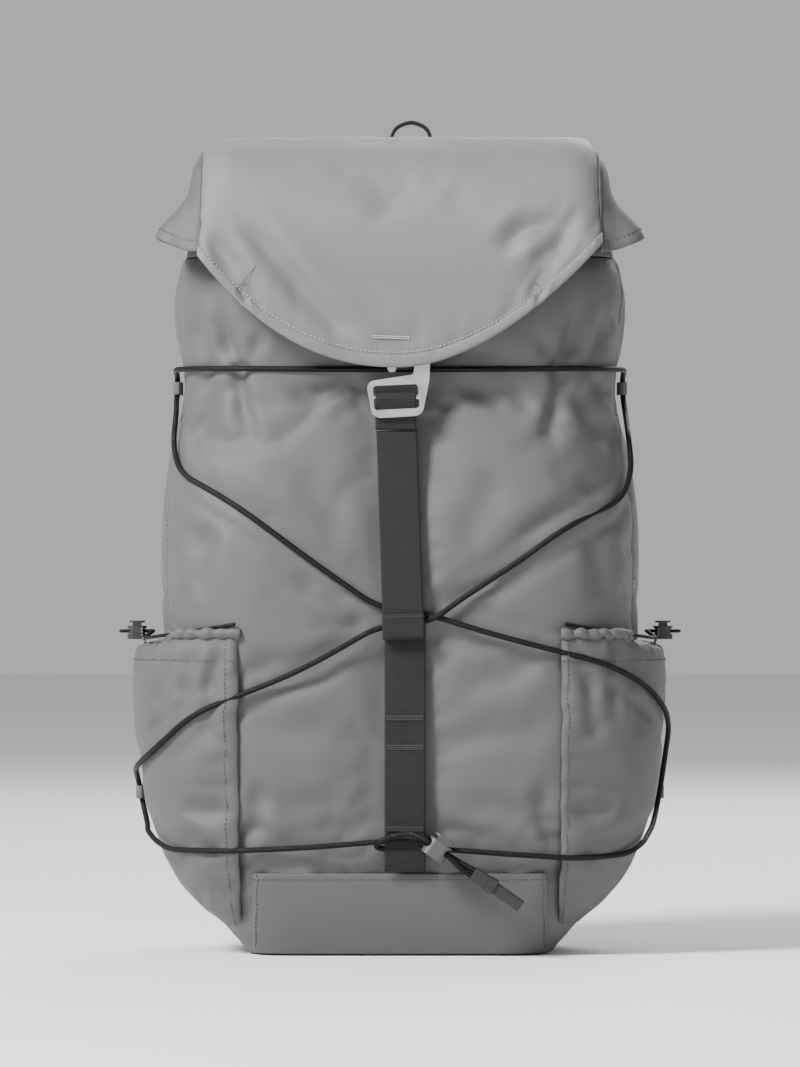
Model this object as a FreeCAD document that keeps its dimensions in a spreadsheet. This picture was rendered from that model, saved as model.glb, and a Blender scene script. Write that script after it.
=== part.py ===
"""Flap-top daypack of about 22 litres: sewn fabric panels, a hooked lid, side pockets, a criss-cross
shock cord, padded shoulder straps and a sternum strap.

The part's frame: +Z up, the pack stands on its base, the front (lid hook, cord) faces -Y, the wearer's
side faces +Y, and the origin is the middle of the base. All sizes are millimetres.
"""

import FreeCAD, Part
import math
import os

import Sketcher
from FreeCAD import Placement, Rotation, Vector

DOC = FreeCAD.newDocument("daypack")
SHEET = DOC.addObject("Spreadsheet::Sheet", "dims")
NODES = []  # the sub-parts that are written, each with a Label that names its file

# Driving dimensions --------------------------------------------------------------------------

# Horizontal sections of the stuffed bag: height, half width, front reach, back reach, front and
# back corner radius.
BAG_RINGS = {
    "foot": (0, 93, 66, 68, 28, 20),
    "toe": (24, 112, 76, 71, 40, 24),
    "hip": (60, 132, 84, 75, 52, 28),
    "waist": (120, 143, 90, 76, 58, 30),
    "belly": (210, 146, 94, 76, 62, 30),
    "chest": (300, 142, 92, 76, 62, 30),
    "pinch": (354, 134, 84, 76, 58, 30),
    "neck": (400, 139, 88, 76, 60, 30),
    "crown": (438, 132, 80, 75, 56, 30),
    "gather": (466, 100, 54, 62, 40, 30),
    "mouth": (480, 44, 16, 38, 20, 20),
}
# Sections of the pocket's outside, which stands off the bag's side.
POCKET_RINGS = {
    "sole": (10, 101, 74, 66, 44, 26),
    "ankle": (26, 119, 80, 70, 48, 28),
    "calf": (60, 145, 87, 72, 58, 30),
    "knee": (100, 158, 92.5, 72, 66, 32),
    "thigh": (145, 163, 96, 72, 70, 34),
    "rim": (206, 159, 98, 72, 70, 34),
}
# Sections of the lid's outside, a hood that is trimmed to the flap.
LID_RINGS = {
    "brim": (346, 146, 108, 90, 34, 20),
    "brow": (400, 145, 107, 90, 34, 20),
    "temple": (440, 142, 103, 90, 32, 20),
    "parting": (472, 132, 94, 90, 28, 20),
    "curl": (492, 125, 81, 90, 24, 20),
    "top": (503, 119, 60, 90, 22, 20),
}
SIZES = {
    "cloth": 2.4,  # walls of bag, pocket and lid, cloth with its lining and seam allowance
    "front_seam": 34,  # the seam between front and side panels runs this far in front
    "back_seam": 52,  # and the one between side and back panels this far behind
    "base_top": 12,
    "panel_top": 432,
    "pocket_seam": 98,  # where the pocket's front edge is sewn, from the middle
    "pocket_top": 203,
    "pocket_slope": 9,  # degrees that the pocket's rim falls towards the outside
    "wrap_half": 91,
    "wrap_height": 52,
    "lid_half": 124,  # the lid's top panel, up to its side seams
    "lid_back": 76,
    "lid_radius": 138,  # of the flap's lower edge
    "lid_tip": 356,  # the flap's lowest point
    "gusset_low": 437,
    "binding": 7,
    "strap_width": 25,  # 25 mm webbing sets the scale of the whole pack
    "strap_thick": 1.5,
    "strap_shift": 3,
    "cord": 3.4,
    "elastic": 2.2,
    "hinge_height": 502,
    "hook_thick": 3.6,
    "hook_depth": 98.5,
    "pin_radius": 1.5,
    "pad_wide": 226,
    "pad_tall": 354,
    "pad_thick": 9,
    "sheet_thick": 1,
    "yoke_tall": 54,
    "harness_thick": 12,
    "harness_wide": 62,
    "sternum_height": 352,
    "sternum_width": 20,
}


def fill_sheet():
    row = 1
    cells = dict(SIZES)
    fields = ("height", "half", "front", "back", "front_radius", "back_radius")
    for rings in (BAG_RINGS, POCKET_RINGS, LID_RINGS):
        for ring, values in rings.items():
            for field, value in zip(fields, values, strict=True):
                cells[f"{ring}_{field}"] = value
    for alias, value in cells.items():
        SHEET.set(f"A{row}", alias)
        SHEET.set(f"B{row}", str(value))
        SHEET.setAlias(f"B{row}", alias)
        row += 1
    DOC.recompute()


def size(alias):
    return float(SHEET.get(alias))


# Helpers -------------------------------------------------------------------------------------


def node(obj, label):
    """Marks an object as a sub-part that is written to its own file."""
    obj.Label = label
    NODES.append(obj)
    return obj


def put(obj, x="0", y="0", z="0", turn=None):
    """Places an object. x, y and z are expressions over the sheet; turn is a Rotation."""
    obj.Placement = Placement(Vector(), turn or Rotation())
    for axis, expression in zip("xyz", (x, y, z), strict=True):
        obj.setExpression(f"Placement.Base.{axis}", str(expression))
    return obj


def origin_plane(body, role):
    return next(f for f in body.Origin.OriginFeatures if f.Role == role)


def new_sketch(body, name, role="XY_Plane"):
    sketch = body.newObject("Sketcher::SketchObject", name)
    sketch.AttachmentSupport = [(origin_plane(body, role), "")]
    sketch.MapMode = "FlatFace"
    return sketch


def frame_lines(sketch, left, right, low, high, radii):
    """A closed rounded rectangle. The sides are expressions, and radii four expressions from the
    low left corner round by the low right one. Returns nothing; the sketch ends fully bound."""
    value = {}
    for key, expression in zip(("l", "r", "b", "t"), (left, right, low, high), strict=True):
        value[key] = evaluate(expression)
    r = [evaluate(x) for x in radii]
    low_left, low_right, high_right, high_left = (
        Vector(value["l"] + r[0], value["b"] + r[0], 0),
        Vector(value["r"] - r[1], value["b"] + r[1], 0),
        Vector(value["r"] - r[2], value["t"] - r[2], 0),
        Vector(value["l"] + r[3], value["t"] - r[3], 0),
    )
    quarter = math.pi / 2
    up = Vector(0, 0, 1)
    line = Part.LineSegment
    arc = Part.ArcOfCircle
    shapes = [
        line(low_left + Vector(0, -r[0], 0), low_right + Vector(0, -r[1], 0)),
        arc(Part.Circle(low_right, up, r[1]), -quarter, 0),
        line(low_right + Vector(r[1], 0, 0), high_right + Vector(r[2], 0, 0)),
        arc(Part.Circle(high_right, up, r[2]), 0, quarter),
        line(high_right + Vector(0, r[2], 0), high_left + Vector(0, r[3], 0)),
        arc(Part.Circle(high_left, up, r[3]), quarter, 2 * quarter),
        line(high_left + Vector(-r[3], 0, 0), low_left + Vector(-r[0], 0, 0)),
        arc(Part.Circle(low_left, up, r[0]), 2 * quarter, 3 * quarter),
    ]
    first = sketch.GeometryCount
    sketch.addGeometry(shapes, False)
    constraint = Sketcher.Constraint
    for i in range(8):
        after = first + (i + 1) % 8
        sketch.addConstraint(constraint("Tangent", first + i, 2, after, 1))
    for i in (0, 4):
        sketch.addConstraint(constraint("Horizontal", first + i))
    for i in (2, 6):
        sketch.addConstraint(constraint("Vertical", first + i))
    bound = [
        (constraint("DistanceX", -1, 1, first + 2, 1, value["r"]), right),
        (constraint("DistanceX", -1, 1, first + 6, 1, value["l"]), left),
        (constraint("DistanceY", -1, 1, first, 1, value["b"]), low),
        (constraint("DistanceY", -1, 1, first + 4, 1, value["t"]), high),
        (constraint("Radius", first + 7, r[0]), radii[0]),
        (constraint("Radius", first + 1, r[1]), radii[1]),
        (constraint("Radius", first + 3, r[2]), radii[2]),
        (constraint("Radius", first + 5, r[3]), radii[3]),
    ]
    for rule, expression in bound:
        number = sketch.addConstraint(rule)
        sketch.setExpression(f"Constraints[{number}]", str(expression))


def evaluate(expression):
    """The value of an expression over the sheet, such as 'dims.cord / 2'."""
    value = SHEET.evalExpression(str(expression))
    return float(getattr(value, "Value", value))


def body_named(name):
    return DOC.addObject("PartDesign::Body", name)


def pad(body, sketch, length, both=False):
    feature = body.newObject("PartDesign::Pad", "Pad")
    feature.Profile = sketch
    feature.setExpression("Length", str(length))
    feature.Midplane = both
    body.Tip = feature
    return feature


def pocket_cut(body, sketch):
    feature = body.newObject("PartDesign::Pocket", "Pocket")
    feature.Profile = sketch
    feature.Type = 1  # through all
    feature.Midplane = True
    body.Tip = feature
    return feature


def plate(name, half_x, half_y, thick, radius, holes=()):
    """A Body: a rounded plate in its own XY plane, centred, with rounded slots
    (x, y, half width, half height, radius) through it."""
    body = body_named(name)
    outline = new_sketch(body, "Outline")
    corner = [radius] * 4
    frame_lines(outline, f"-({half_x})", half_x, f"-({half_y})", half_y, corner)
    pad(body, outline, thick, both=True)
    for i, (x, y, hx, hy, r) in enumerate(holes):
        slot = new_sketch(body, f"Slot{i}")
        frame_lines(
            slot, f"({x})-({hx})", f"({x})+({hx})", f"({y})-({hy})", f"({y})+({hy})", [r] * 4
        )
        pocket_cut(body, slot)
    return body


def box(name, low, high):
    """A Part::Box between two corners, given as expressions."""
    obj = DOC.addObject("Part::Box", name)
    for side, a, b in zip(("Length", "Width", "Height"), low, high, strict=True):
        obj.setExpression(side, f"({b})-({a})")
    put(obj, *low)
    return obj


def boolean(kind, name, base, tool):
    obj = DOC.addObject(f"Part::{kind}", name)
    obj.Base = base
    obj.Tool = tool
    return obj


def common(name, base, tool):
    return boolean("Common", name, base, tool)


def cut(name, base, tool):
    return boolean("Cut", name, base, tool)


def ring_sketch(ring, inset="0"):
    """One horizontal section of a loft, as a sketch at its height."""
    sketch = DOC.addObject("Sketcher::SketchObject", f"{ring}_section")
    half, front, back = (f"dims.{ring}_{k}-({inset})" for k in ("half", "front", "back"))
    front_radius, back_radius = (
        f"dims.{ring}_{k}_radius-({inset})" for k in ("front", "back")
    )
    radii = [front_radius, front_radius, back_radius, back_radius]
    frame_lines(sketch, f"-({half})", half, f"-({front})", back, radii)
    put(sketch, z=f"dims.{ring}_height")
    return sketch


def ring_loft(name, rings, inset="0", low=None, high=None):
    """A solid through the sections, optionally with its two ends moved."""
    sections = [ring_sketch(ring, inset) for ring in rings]
    if low is not None:
        sections[0].setExpression("Placement.Base.z", low)
    if high is not None:
        sections[-1].setExpression("Placement.Base.z", high)
    loft = DOC.addObject("Part::Loft", name)
    loft.Sections = sections
    loft.Solid = True
    loft.Ruled = False
    return loft


def shape_node(label, shape):
    """A sub-part whose shape is set here, from sizes that come from the sheet."""
    obj = DOC.addObject("Part::Feature", label)
    obj.Shape = shape
    return node(obj, label)


def moved(shape, placement):
    """The shape moved by a placement, with its geometry in the pack's own frame."""
    return shape.transformed(placement.toMatrix(), copy=True)


def rounded_path(points, share=0.45, radius=None):
    """Straight runs through the points joined by tangent arcs. Returns (wire, smallest radius)."""
    points = [Vector(*p) for p in points]
    edges, at, least = [], points[0], math.inf
    for before, corner, after in zip(points, points[1:], points[2:]):
        back, ahead = before - corner, after - corner
        half = back.getAngle(ahead) / 2
        reach = share * min(back.Length, ahead.Length)
        if radius is not None:
            reach = min(reach, radius / math.tan(half))
        least = min(least, reach * math.tan(half))
        back.normalize()
        ahead.normalize()
        start, end = corner + back * reach, corner + ahead * reach
        middle = back + ahead
        middle.normalize()
        bulge = reach * (1 / math.cos(half) - math.tan(half))
        if (start - at).Length > 1e-6:
            edges.append(Part.LineSegment(at, start).toShape())
        edges.append(Part.Arc(start, corner + middle * bulge, end).toShape())
        at = end
    edges.append(Part.LineSegment(at, points[-1]).toShape())
    return Part.Wire(edges), least


def tube(points, diameter, label, radius=None):
    """A round tube along the points. Prints its smallest arc and compares its volume."""
    wire, least = rounded_path(points, radius=radius)
    start = wire.Edges[0].firstVertex().Point
    way = Vector(*points[1]) - Vector(*points[0])
    circle = Part.Wire(Part.Circle(start, way, diameter / 2).toShape())
    solid = Part.Solid(wire.makePipeShell([circle], True, False))
    if solid.Volume < 0:
        solid.reverse()
    due = math.pi * diameter**2 / 4 * wire.Length
    print(f"{label}: length {wire.Length:.0f}, least arc {least:.1f}, ", end="")
    print(f"volume {solid.Volume / due:.3f} of section times length")
    if abs(solid.Volume / due - 1) > 0.02:
        raise ValueError(f"{label} didn't sweep cleanly")
    return solid


def ribbon(points, thick, width, middle=0.0, side=1, radius=None):
    """Webbing whose face follows (y, z) points, straight across in X. Its thickness goes to -Y
    where the path climbs, or to +Y with a side of -1."""
    low = middle - width / 2
    wire, _ = rounded_path([(low, y, z) for y, z in points], radius=radius)
    start = Vector(low, *points[0])
    way = Vector(0, points[1][0] - points[0][0], points[1][1] - points[0][1])
    way.normalize()
    out = Vector(0, -way.z, way.y) * (thick * side)
    across = Vector(width, 0, 0)
    corners = [start, start + across, start + across + out, start + out]
    profile = Part.makePolygon(corners + corners[:1])
    solid = Part.Solid(wire.makePipeShell([profile], True, False))
    if solid.Volume < 0:
        solid.reverse()
    return solid


# Bag -----------------------------------------------------------------------------------------


def far_box(name, **sides):
    """A box far larger than the pack, with some of its sides moved in, to trim with."""
    far = {"x": ("-400", "400"), "y": ("-400", "400"), "z": ("-50", "700")}
    for side, expression in sides.items():
        low, high = far[side[0]]
        far[side[0]] = (expression, high) if side.endswith("from") else (low, expression)
    low, high = zip(*far.values(), strict=True)
    return box(name, low, high)


def build_bag():
    """Front, side, back and base panels and the gathered collar, cut from one stuffed shell."""
    outside = ring_loft("BagOutside", BAG_RINGS)
    inside = ring_loft("BagInside", BAG_RINGS, "dims.cloth", low="dims.cloth")
    shell = cut("BagShell", outside, inside)
    walls = common(
        "BagWalls", shell, far_box("WallSpan", zfrom="dims.base_top", zto="dims.panel_top")
    )
    node(common("FrontPanel", walls, far_box("FrontSpan", yto="-dims.front_seam")), "front_panel")
    middle = common(
        "SideWalls", walls, far_box("SideSpan", yfrom="-dims.front_seam", yto="dims.back_seam")
    )
    node(common("LeftPanel", middle, far_box("LeftSpan", xto="0")), "left_side_panel")
    node(common("RightPanel", middle, far_box("RightSpan", xfrom="0")), "right_side_panel")
    node(common("BackPanel", walls, far_box("BackSpan", yfrom="dims.back_seam")), "back_panel")
    node(common("BasePanel", shell, far_box("BaseSpan", zto="dims.base_top")), "base_panel")
    node(common("Collar", shell, far_box("CollarSpan", zfrom="dims.panel_top")), "collar")
    return outside


def build_inside():
    """Stiffener and hung sleeve inside the back."""
    sheet = plate("Stiffener", "100", "184", "dims.sheet_thick", "24")
    put(sheet, y="dims.waist_back-9.4", z="222", turn=Rotation(Vector(1, 0, 0), 90))
    node(sheet, "frame_sheet")
    outer = box("SleeveOuter", ("-104", "40", "44"), ("104", "64.6", "290"))
    inner = box("SleeveInner", ("-102.6", "41.4", "45.4"), ("102.6", "90", "300"))
    node(cut("InnerSleeve", outer, inner), "inner_sleeve")


def build_wrap(bag_outside):
    """The layer that wraps from the bottom up the front."""
    skin = ring_loft("WrapOutside", BAG_RINGS, "-1.6")
    span = far_box("WrapSpan", yto="-40", zfrom="0", zto="dims.wrap_height")
    middle = box("WrapMiddle", ("-dims.wrap_half", "-200", "-10"), ("dims.wrap_half", "0", "100"))
    strip = common("WrapStrip", common("WrapBand", skin, span), middle)
    node(cut("BaseWrap", strip, bag_outside), "base_wrap")


# Side pockets --------------------------------------------------------------------------------


def tilted_box(name, pivot, angle, low, high):
    """A box between two corners that are measured from a pivot, turned about Y at the pivot."""
    obj = DOC.addObject("Part::Box", name)
    for side, a, b in zip(("Length", "Width", "Height"), low, high, strict=True):
        setattr(obj, side, b - a)
    turned = Placement(Vector(*pivot), Rotation(Vector(0, 1, 0), angle))
    obj.Placement = turned * Placement(Vector(*low), Rotation())
    return obj


def build_pockets(bag_outside):
    """Pockets on both sides: an outer wall sewn down its front and back edges, with an open rim."""
    outside = ring_loft("PocketOutside", POCKET_RINGS)
    bottom = "dims.sole_height+dims.cloth"
    inside = ring_loft("PocketInside", POCKET_RINGS, "dims.cloth", low=bottom)
    seam_low = ("-(dims.pocket_seam+4)", "-200", "0")
    seam = box("PocketSeam", seam_low, ("dims.pocket_seam+4", "0", "400"))
    hollow = cut("PocketHollow", inside, seam)
    walls = cut("PocketWalls", cut("PocketShell", outside, hollow), bag_outside)
    for side, name in ((-1, "left"), (1, "right")):
        pivot = (side * size("pocket_seam"), 0, size("pocket_top"))
        low, high = (-100, -200, -400), (300, 200, 0)
        if side < 0:
            low, high = (-300, -200, -400), (100, 200, 0)
        under = tilted_box(f"{name}_rim_cut", pivot, side * size("pocket_slope"), low, high)
        if side < 0:
            half = far_box("LeftPocketSpan", xto="-dims.pocket_seam")
        else:
            half = far_box("RightPocketSpan", xfrom="dims.pocket_seam")
        upper = common(f"{name}_pocket_half", walls, half)
        node(common(f"{name}_pocket_wall", upper, under), f"{name}_pocket")
    return outside


def rim_height(x):
    """Height of a pocket's rim at a distance x from the middle."""
    out = abs(x) - size("pocket_seam")
    return size("pocket_top") - math.tan(math.radians(size("pocket_slope"))) * out


# Laid on the cloth ---------------------------------------------------------------------------


def surface_point(shapes, base, way, off):
    """The outermost point of the shapes along a way from a base point, and off beyond it."""
    base, way = Vector(*base), Vector(*way)
    way.normalize()
    ray = Part.makeLine(base, base + way * 400)
    reach = 0
    for shape in shapes:
        for vertex in ray.common(shape).Vertexes:
            reach = max(reach, (vertex.Point - base).dot(way))
    return base + way * (reach + off)


def around(shapes, x, z, off, turn=0, y=0):
    """A point on the cloth at height z. turn is 0 in front and 90 at the viewer's right."""
    angle = math.radians(turn)
    way = (math.sin(angle), -math.cos(angle), 0)
    return tuple(surface_point(shapes, (x, y, z), way, off))


# Webbing on the front ------------------------------------------------------------------------

DAISY_PATH = [(-86.6, 54), (-90.4, 60.5), (-90.9, 80), (-91.9, 104), (-94.6, 150), (-95.6, 200)]
CLOSURE_PATH = [(-98.4, 195), (-98.4, 215), (-96.2, 250), (-93.4, 322)]
HEM_TOP = 210


def leaning(shape):
    """The closure strap leans a little to the viewer's left."""
    pivot = Vector(2.1, 0, 200)
    return moved(shape, Placement(Vector(), Rotation(Vector(0, 1, 0), -1.9), pivot))


def build_front_webbing(bag_outside):
    shift, width, thick = size("strap_shift"), size("strap_width"), size("strap_thick")
    daisy = ribbon(DAISY_PATH, thick, width, shift)
    shape_node("daisy_strap", daisy.cut(bag_outside.Shape))

    doubled = ribbon(CLOSURE_PATH, 2 * thick, width, 2.1)
    face = CLOSURE_PATH[0][0] - 2 * thick
    hem = ribbon([(face, 195), (face, HEM_TOP)], thick, width + 1, 2.1)
    shape_node("closure_strap", leaning(doubled.fuse(hem)))

    bars = DOC.addObject("Part::MultiFuse", "Bars")
    pieces = []
    for i, (height, reach) in enumerate(((147, -96.0), (129, -95.0), (79, -91.4))):
        bar = DOC.addObject("Part::Box", f"Bar{i}")
        bar.Length, bar.Width, bar.Height = 23, 1.4, 2
        put(bar, "dims.strap_shift-11.5", str(reach - 0.6), str(height - 1))
        pieces.append(bar)
    bars.Shapes = pieces
    return bars


# Hook ----------------------------------------------------------------------------------------

# The hook's outline, seen from the front: x, z and corner radius
HOOK_OUTLINE = [
    (-20.9, 352.2, 5),
    (8.2, 356.6, 2.2),
    (9.0, 364.2, 2.2),
    (-2.2, 363.6, 1.2),
    (-2.4, 358.2, 2.2),
    (-7.6, 358.0, 2.2),
    (-7.4, 370.6, 5),
    (18.6, 371.2, 5),
    (17.9, 353.0, 20),
    (13.6, 331.6, 6),
    (-16.6, 329.8, 6),
]
HOOK_SLOT = [(-16.6, 349.6, 2), (10.8, 350.9, 2), (12.0, 336.2, 2), (-15.8, 334.8, 2)]


def outline_sketch(body, name, corners):
    """A closed outline with rounded corners in the body's XZ plane."""
    sketch = new_sketch(body, name, "XZ_Plane")
    points = [Vector(x, z, 0) for x, z, _ in corners]
    shapes, at = [], None
    for i, corner in enumerate(points):
        back = points[i - 1] - corner
        ahead = points[(i + 1) % len(points)] - corner
        half = back.getAngle(ahead) / 2
        radius = corners[i][2]
        reach = min(radius / math.tan(half), 0.45 * back.Length, 0.45 * ahead.Length)
        back.normalize()
        ahead.normalize()
        middle = back + ahead
        middle.normalize()
        bulge = reach * (1 / math.cos(half) - math.tan(half))
        start, end = corner + back * reach, corner + ahead * reach
        if at is not None:
            shapes.append(Part.LineSegment(at, start))
        else:
            first = start
        shapes.append(Part.Arc(start, corner + middle * bulge, end))
        at = end
    shapes.append(Part.LineSegment(at, first))
    sketch.addGeometry(shapes, False)
    return sketch


def build_hook():
    body = body_named("HookPlate")
    outline = outline_sketch(body, "HookOutline", HOOK_OUTLINE)
    pad(body, outline, "dims.hook_thick", both=True)
    slot = outline_sketch(body, "HookSlot", HOOK_SLOT)
    pocket_cut(body, slot)
    put(body, y="-dims.hook_depth")
    bar = DOC.addObject("Part::Cylinder", "HookBar")
    bar.setExpression("Radius", "dims.pin_radius")
    bar.Height = 31
    put(bar, "-17.6", "-dims.hook_depth+1.4", "342.9", Rotation(Vector(0, 1, 0), 90))
    hook = DOC.addObject("Part::Fuse", "Hook")
    hook.Base = body
    hook.Tool = bar
    node(hook, "hook")


def build_fold():
    """The closure strap's loop over the hook's bar, above the line where the strap bends."""
    thick, width = size("strap_thick"), size("strap_width")
    bar_y, bar_z = -size("hook_depth") + 1.4, 342.9
    inner = [
        (-94.9, 322.7),
        (-94.95, 333),
        (bar_y + 1.7, bar_z - 3),
        (bar_y + 1.7, bar_z + 1.7),
        (bar_y - 1.7, bar_z + 1.7),
        (bar_y - 1.7, bar_z - 2.4),
        (-95.0, 337.2),
        (-94.95, 322.7),
    ]
    return ribbon(inner, thick - 0.06, width, -2.5, side=-1)


# Lid -----------------------------------------------------------------------------------------


def build_lid():
    """Top and front flap in one panel, side gussets, and a binding round the flap's edge."""
    outside = ring_loft("LidOutside", LID_RINGS)
    inside = ring_loft("LidInside", LID_RINGS, "dims.cloth", high="dims.top_height-dims.cloth")
    bound = ring_loft("LidBound", LID_RINGS, "-0.9")
    hood = cut("LidHood", outside, inside)
    back = far_box("LidDepth", yto="dims.lid_back")

    def disc(name, inset):
        round_cut = DOC.addObject("Part::Cylinder", name)
        round_cut.setExpression("Radius", f"dims.lid_radius-({inset})")
        round_cut.Height = 500
        turn = Rotation(Vector(1, 0, 0), 90)
        return put(round_cut, y="200", z="dims.lid_tip+dims.lid_radius", turn=turn)

    middle_low = ("-dims.lid_half", "-300", "300")
    middle = box("LidMiddle", middle_low, ("dims.lid_half", "300", "600"))
    panel = common("LidTrim", common("LidDeep", hood, back), middle)
    node(common("LidPanel", panel, disc("LidEdge", "0")), "lid_panel")

    ring = cut("BindingRing", disc("BindingOut", "0"), disc("BindingIn", "dims.binding"))
    layer = common("BindingLayer", cut("BindingSkin", bound, outside), far_box("Ahead", yto="-60"))
    edge = common("BindingTrim", common("BindingEdge", layer, ring), middle)
    low_box = far_box("BindingLow", zto="dims.gusset_low+12")
    node(common("LidBinding", edge, low_box), "lid_binding")

    for name, sides in (
        ("left", {"xto": "-dims.lid_half"}),
        ("right", {"xfrom": "dims.lid_half"}),
    ):
        part = common(f"{name}_gusset_half", hood, far_box(f"{name}_gusset_span", **sides))
        low = far_box(f"{name}_gusset_low", zfrom="dims.gusset_low", yto="dims.lid_back")
        node(common(f"{name}_lid_gusset", part, low), f"{name}_lid_gusset")
    return outside


def lid_loop():
    """Webbing sewn under the flap's tip, round the hook's top bar."""
    inner = [
        (-102.4, 382),
        (-101.1, 372.6),
        (-101.1, 361.4),
        (-95.6, 361.4),
        (-95.6, 374.0),
        (-99.9, 378.6),
        (-100.2, 382),
    ]
    return ribbon(inner, 1.2, 9, 2.6, side=-1)


# Cord locks ----------------------------------------------------------------------------------

# Half sizes of a cord lock for two strands: the barrel's length along the cord and its depth, its
# heights over and under the cord, and the cord's diameter
LOCKS = {
    "front": (7.8, 6.8, 4.2, 6.6, 3.4),
    "small": (6.0, 5.2, 3.2, 5.0, 2.2),
}
BUTTON_TRAVEL = {"front": 2.2, "small": 1.6}


def build_lock(label, kind, centre, turn):
    """A cord lock's barrel and its sprung plunger. The cord runs along the local X, and the
    button is pressed along the local -Z."""
    half, depth, over, under, cord = LOCKS[kind]
    travel = BUTTON_TRAVEL[kind]
    window = 2 * cord + 0.8
    frame = Placement(Vector(*centre), turn)

    barrel = plate(f"{label}_barrel", str(half), str(depth), str(over + under), str(depth - 1))
    put(barrel, z=str((over - under) / 2))
    well_x, well_y = half * 0.5, window / 2 + 1.5
    well = DOC.addObject("Part::Box", f"{label}_well")
    well.Length, well.Width, well.Height = 2 * well_x, 2 * well_y, over + under
    put(well, str(-well_x), str(-well_y), str(0.8 - under))
    way = DOC.addObject("Part::Box", f"{label}_way")
    way.Length, way.Width, way.Height = 4 * half, window, cord + 0.4
    put(way, str(-2 * half), str(-window / 2), str(-cord / 2 - 0.15))
    hollowed = cut(f"{label}_hollowed", cut(f"{label}_drilled", barrel, well), way)
    notches = []
    for end in (-1, 1):
        notch = DOC.addObject("Part::Cylinder", f"{label}_notch")
        notch.Radius, notch.Height = cord * 0.95, 4 * depth
        put(notch, str(end * (half + 0.4)), str(2 * depth), "0", Rotation(Vector(1, 0, 0), 90))
        notches.append(notch)
    shell = cut(f"{label}_shell", cut(f"{label}_notched", hollowed, notches[0]), notches[1])
    shell.Placement = frame
    node(shell, f"{label}_lock_body")

    gap = 0.3
    foot = -cord / 2 - 0.15 - 1.3
    top = over + travel + 0.5
    post = DOC.addObject("Part::Box", f"{label}_post")
    post.Length, post.Width = 2 * (well_x - gap), 2 * (well_y - gap)
    post.Height = top - foot
    put(post, str(gap - well_x), str(gap - well_y), str(foot))
    eye = DOC.addObject("Part::Box", f"{label}_eye")
    eye.Length, eye.Width, eye.Height = 4 * half, window, cord + 0.5 + travel
    put(eye, str(-2 * half), str(-window / 2), str(-cord / 2 - 0.15))
    cap = plate(f"{label}_cap", str(half - 1.2), str(depth - 1), "1.2", str(depth - 2.2))
    put(cap, z=str(top + 0.6))
    holed = cut(f"{label}_holed", post, eye)
    plunger = DOC.addObject("Part::Fuse", f"{label}_plunger")
    plunger.Base = holed
    plunger.Tool = cap
    plunger.Placement = frame
    node(plunger, f"{label}_lock_plunger")


FRONT_LOCK = (23.0, -100.4, 67.6)
SIDE_LOCK = (163.5, -12, 199)
COLLAR_LOCK = (0, -44, 483)


def build_locks():
    build_lock("front", "front", FRONT_LOCK, Rotation(Vector(0, 1, 0), 35))
    left = (-SIDE_LOCK[0], SIDE_LOCK[1], SIDE_LOCK[2])
    build_lock("left", "small", left, Rotation())
    build_lock("right", "small", SIDE_LOCK, Rotation())
    build_lock("collar", "small", COLLAR_LOCK, Rotation(Vector(0, 0, 1), 90))


# Shock cord ----------------------------------------------------------------------------------


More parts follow.
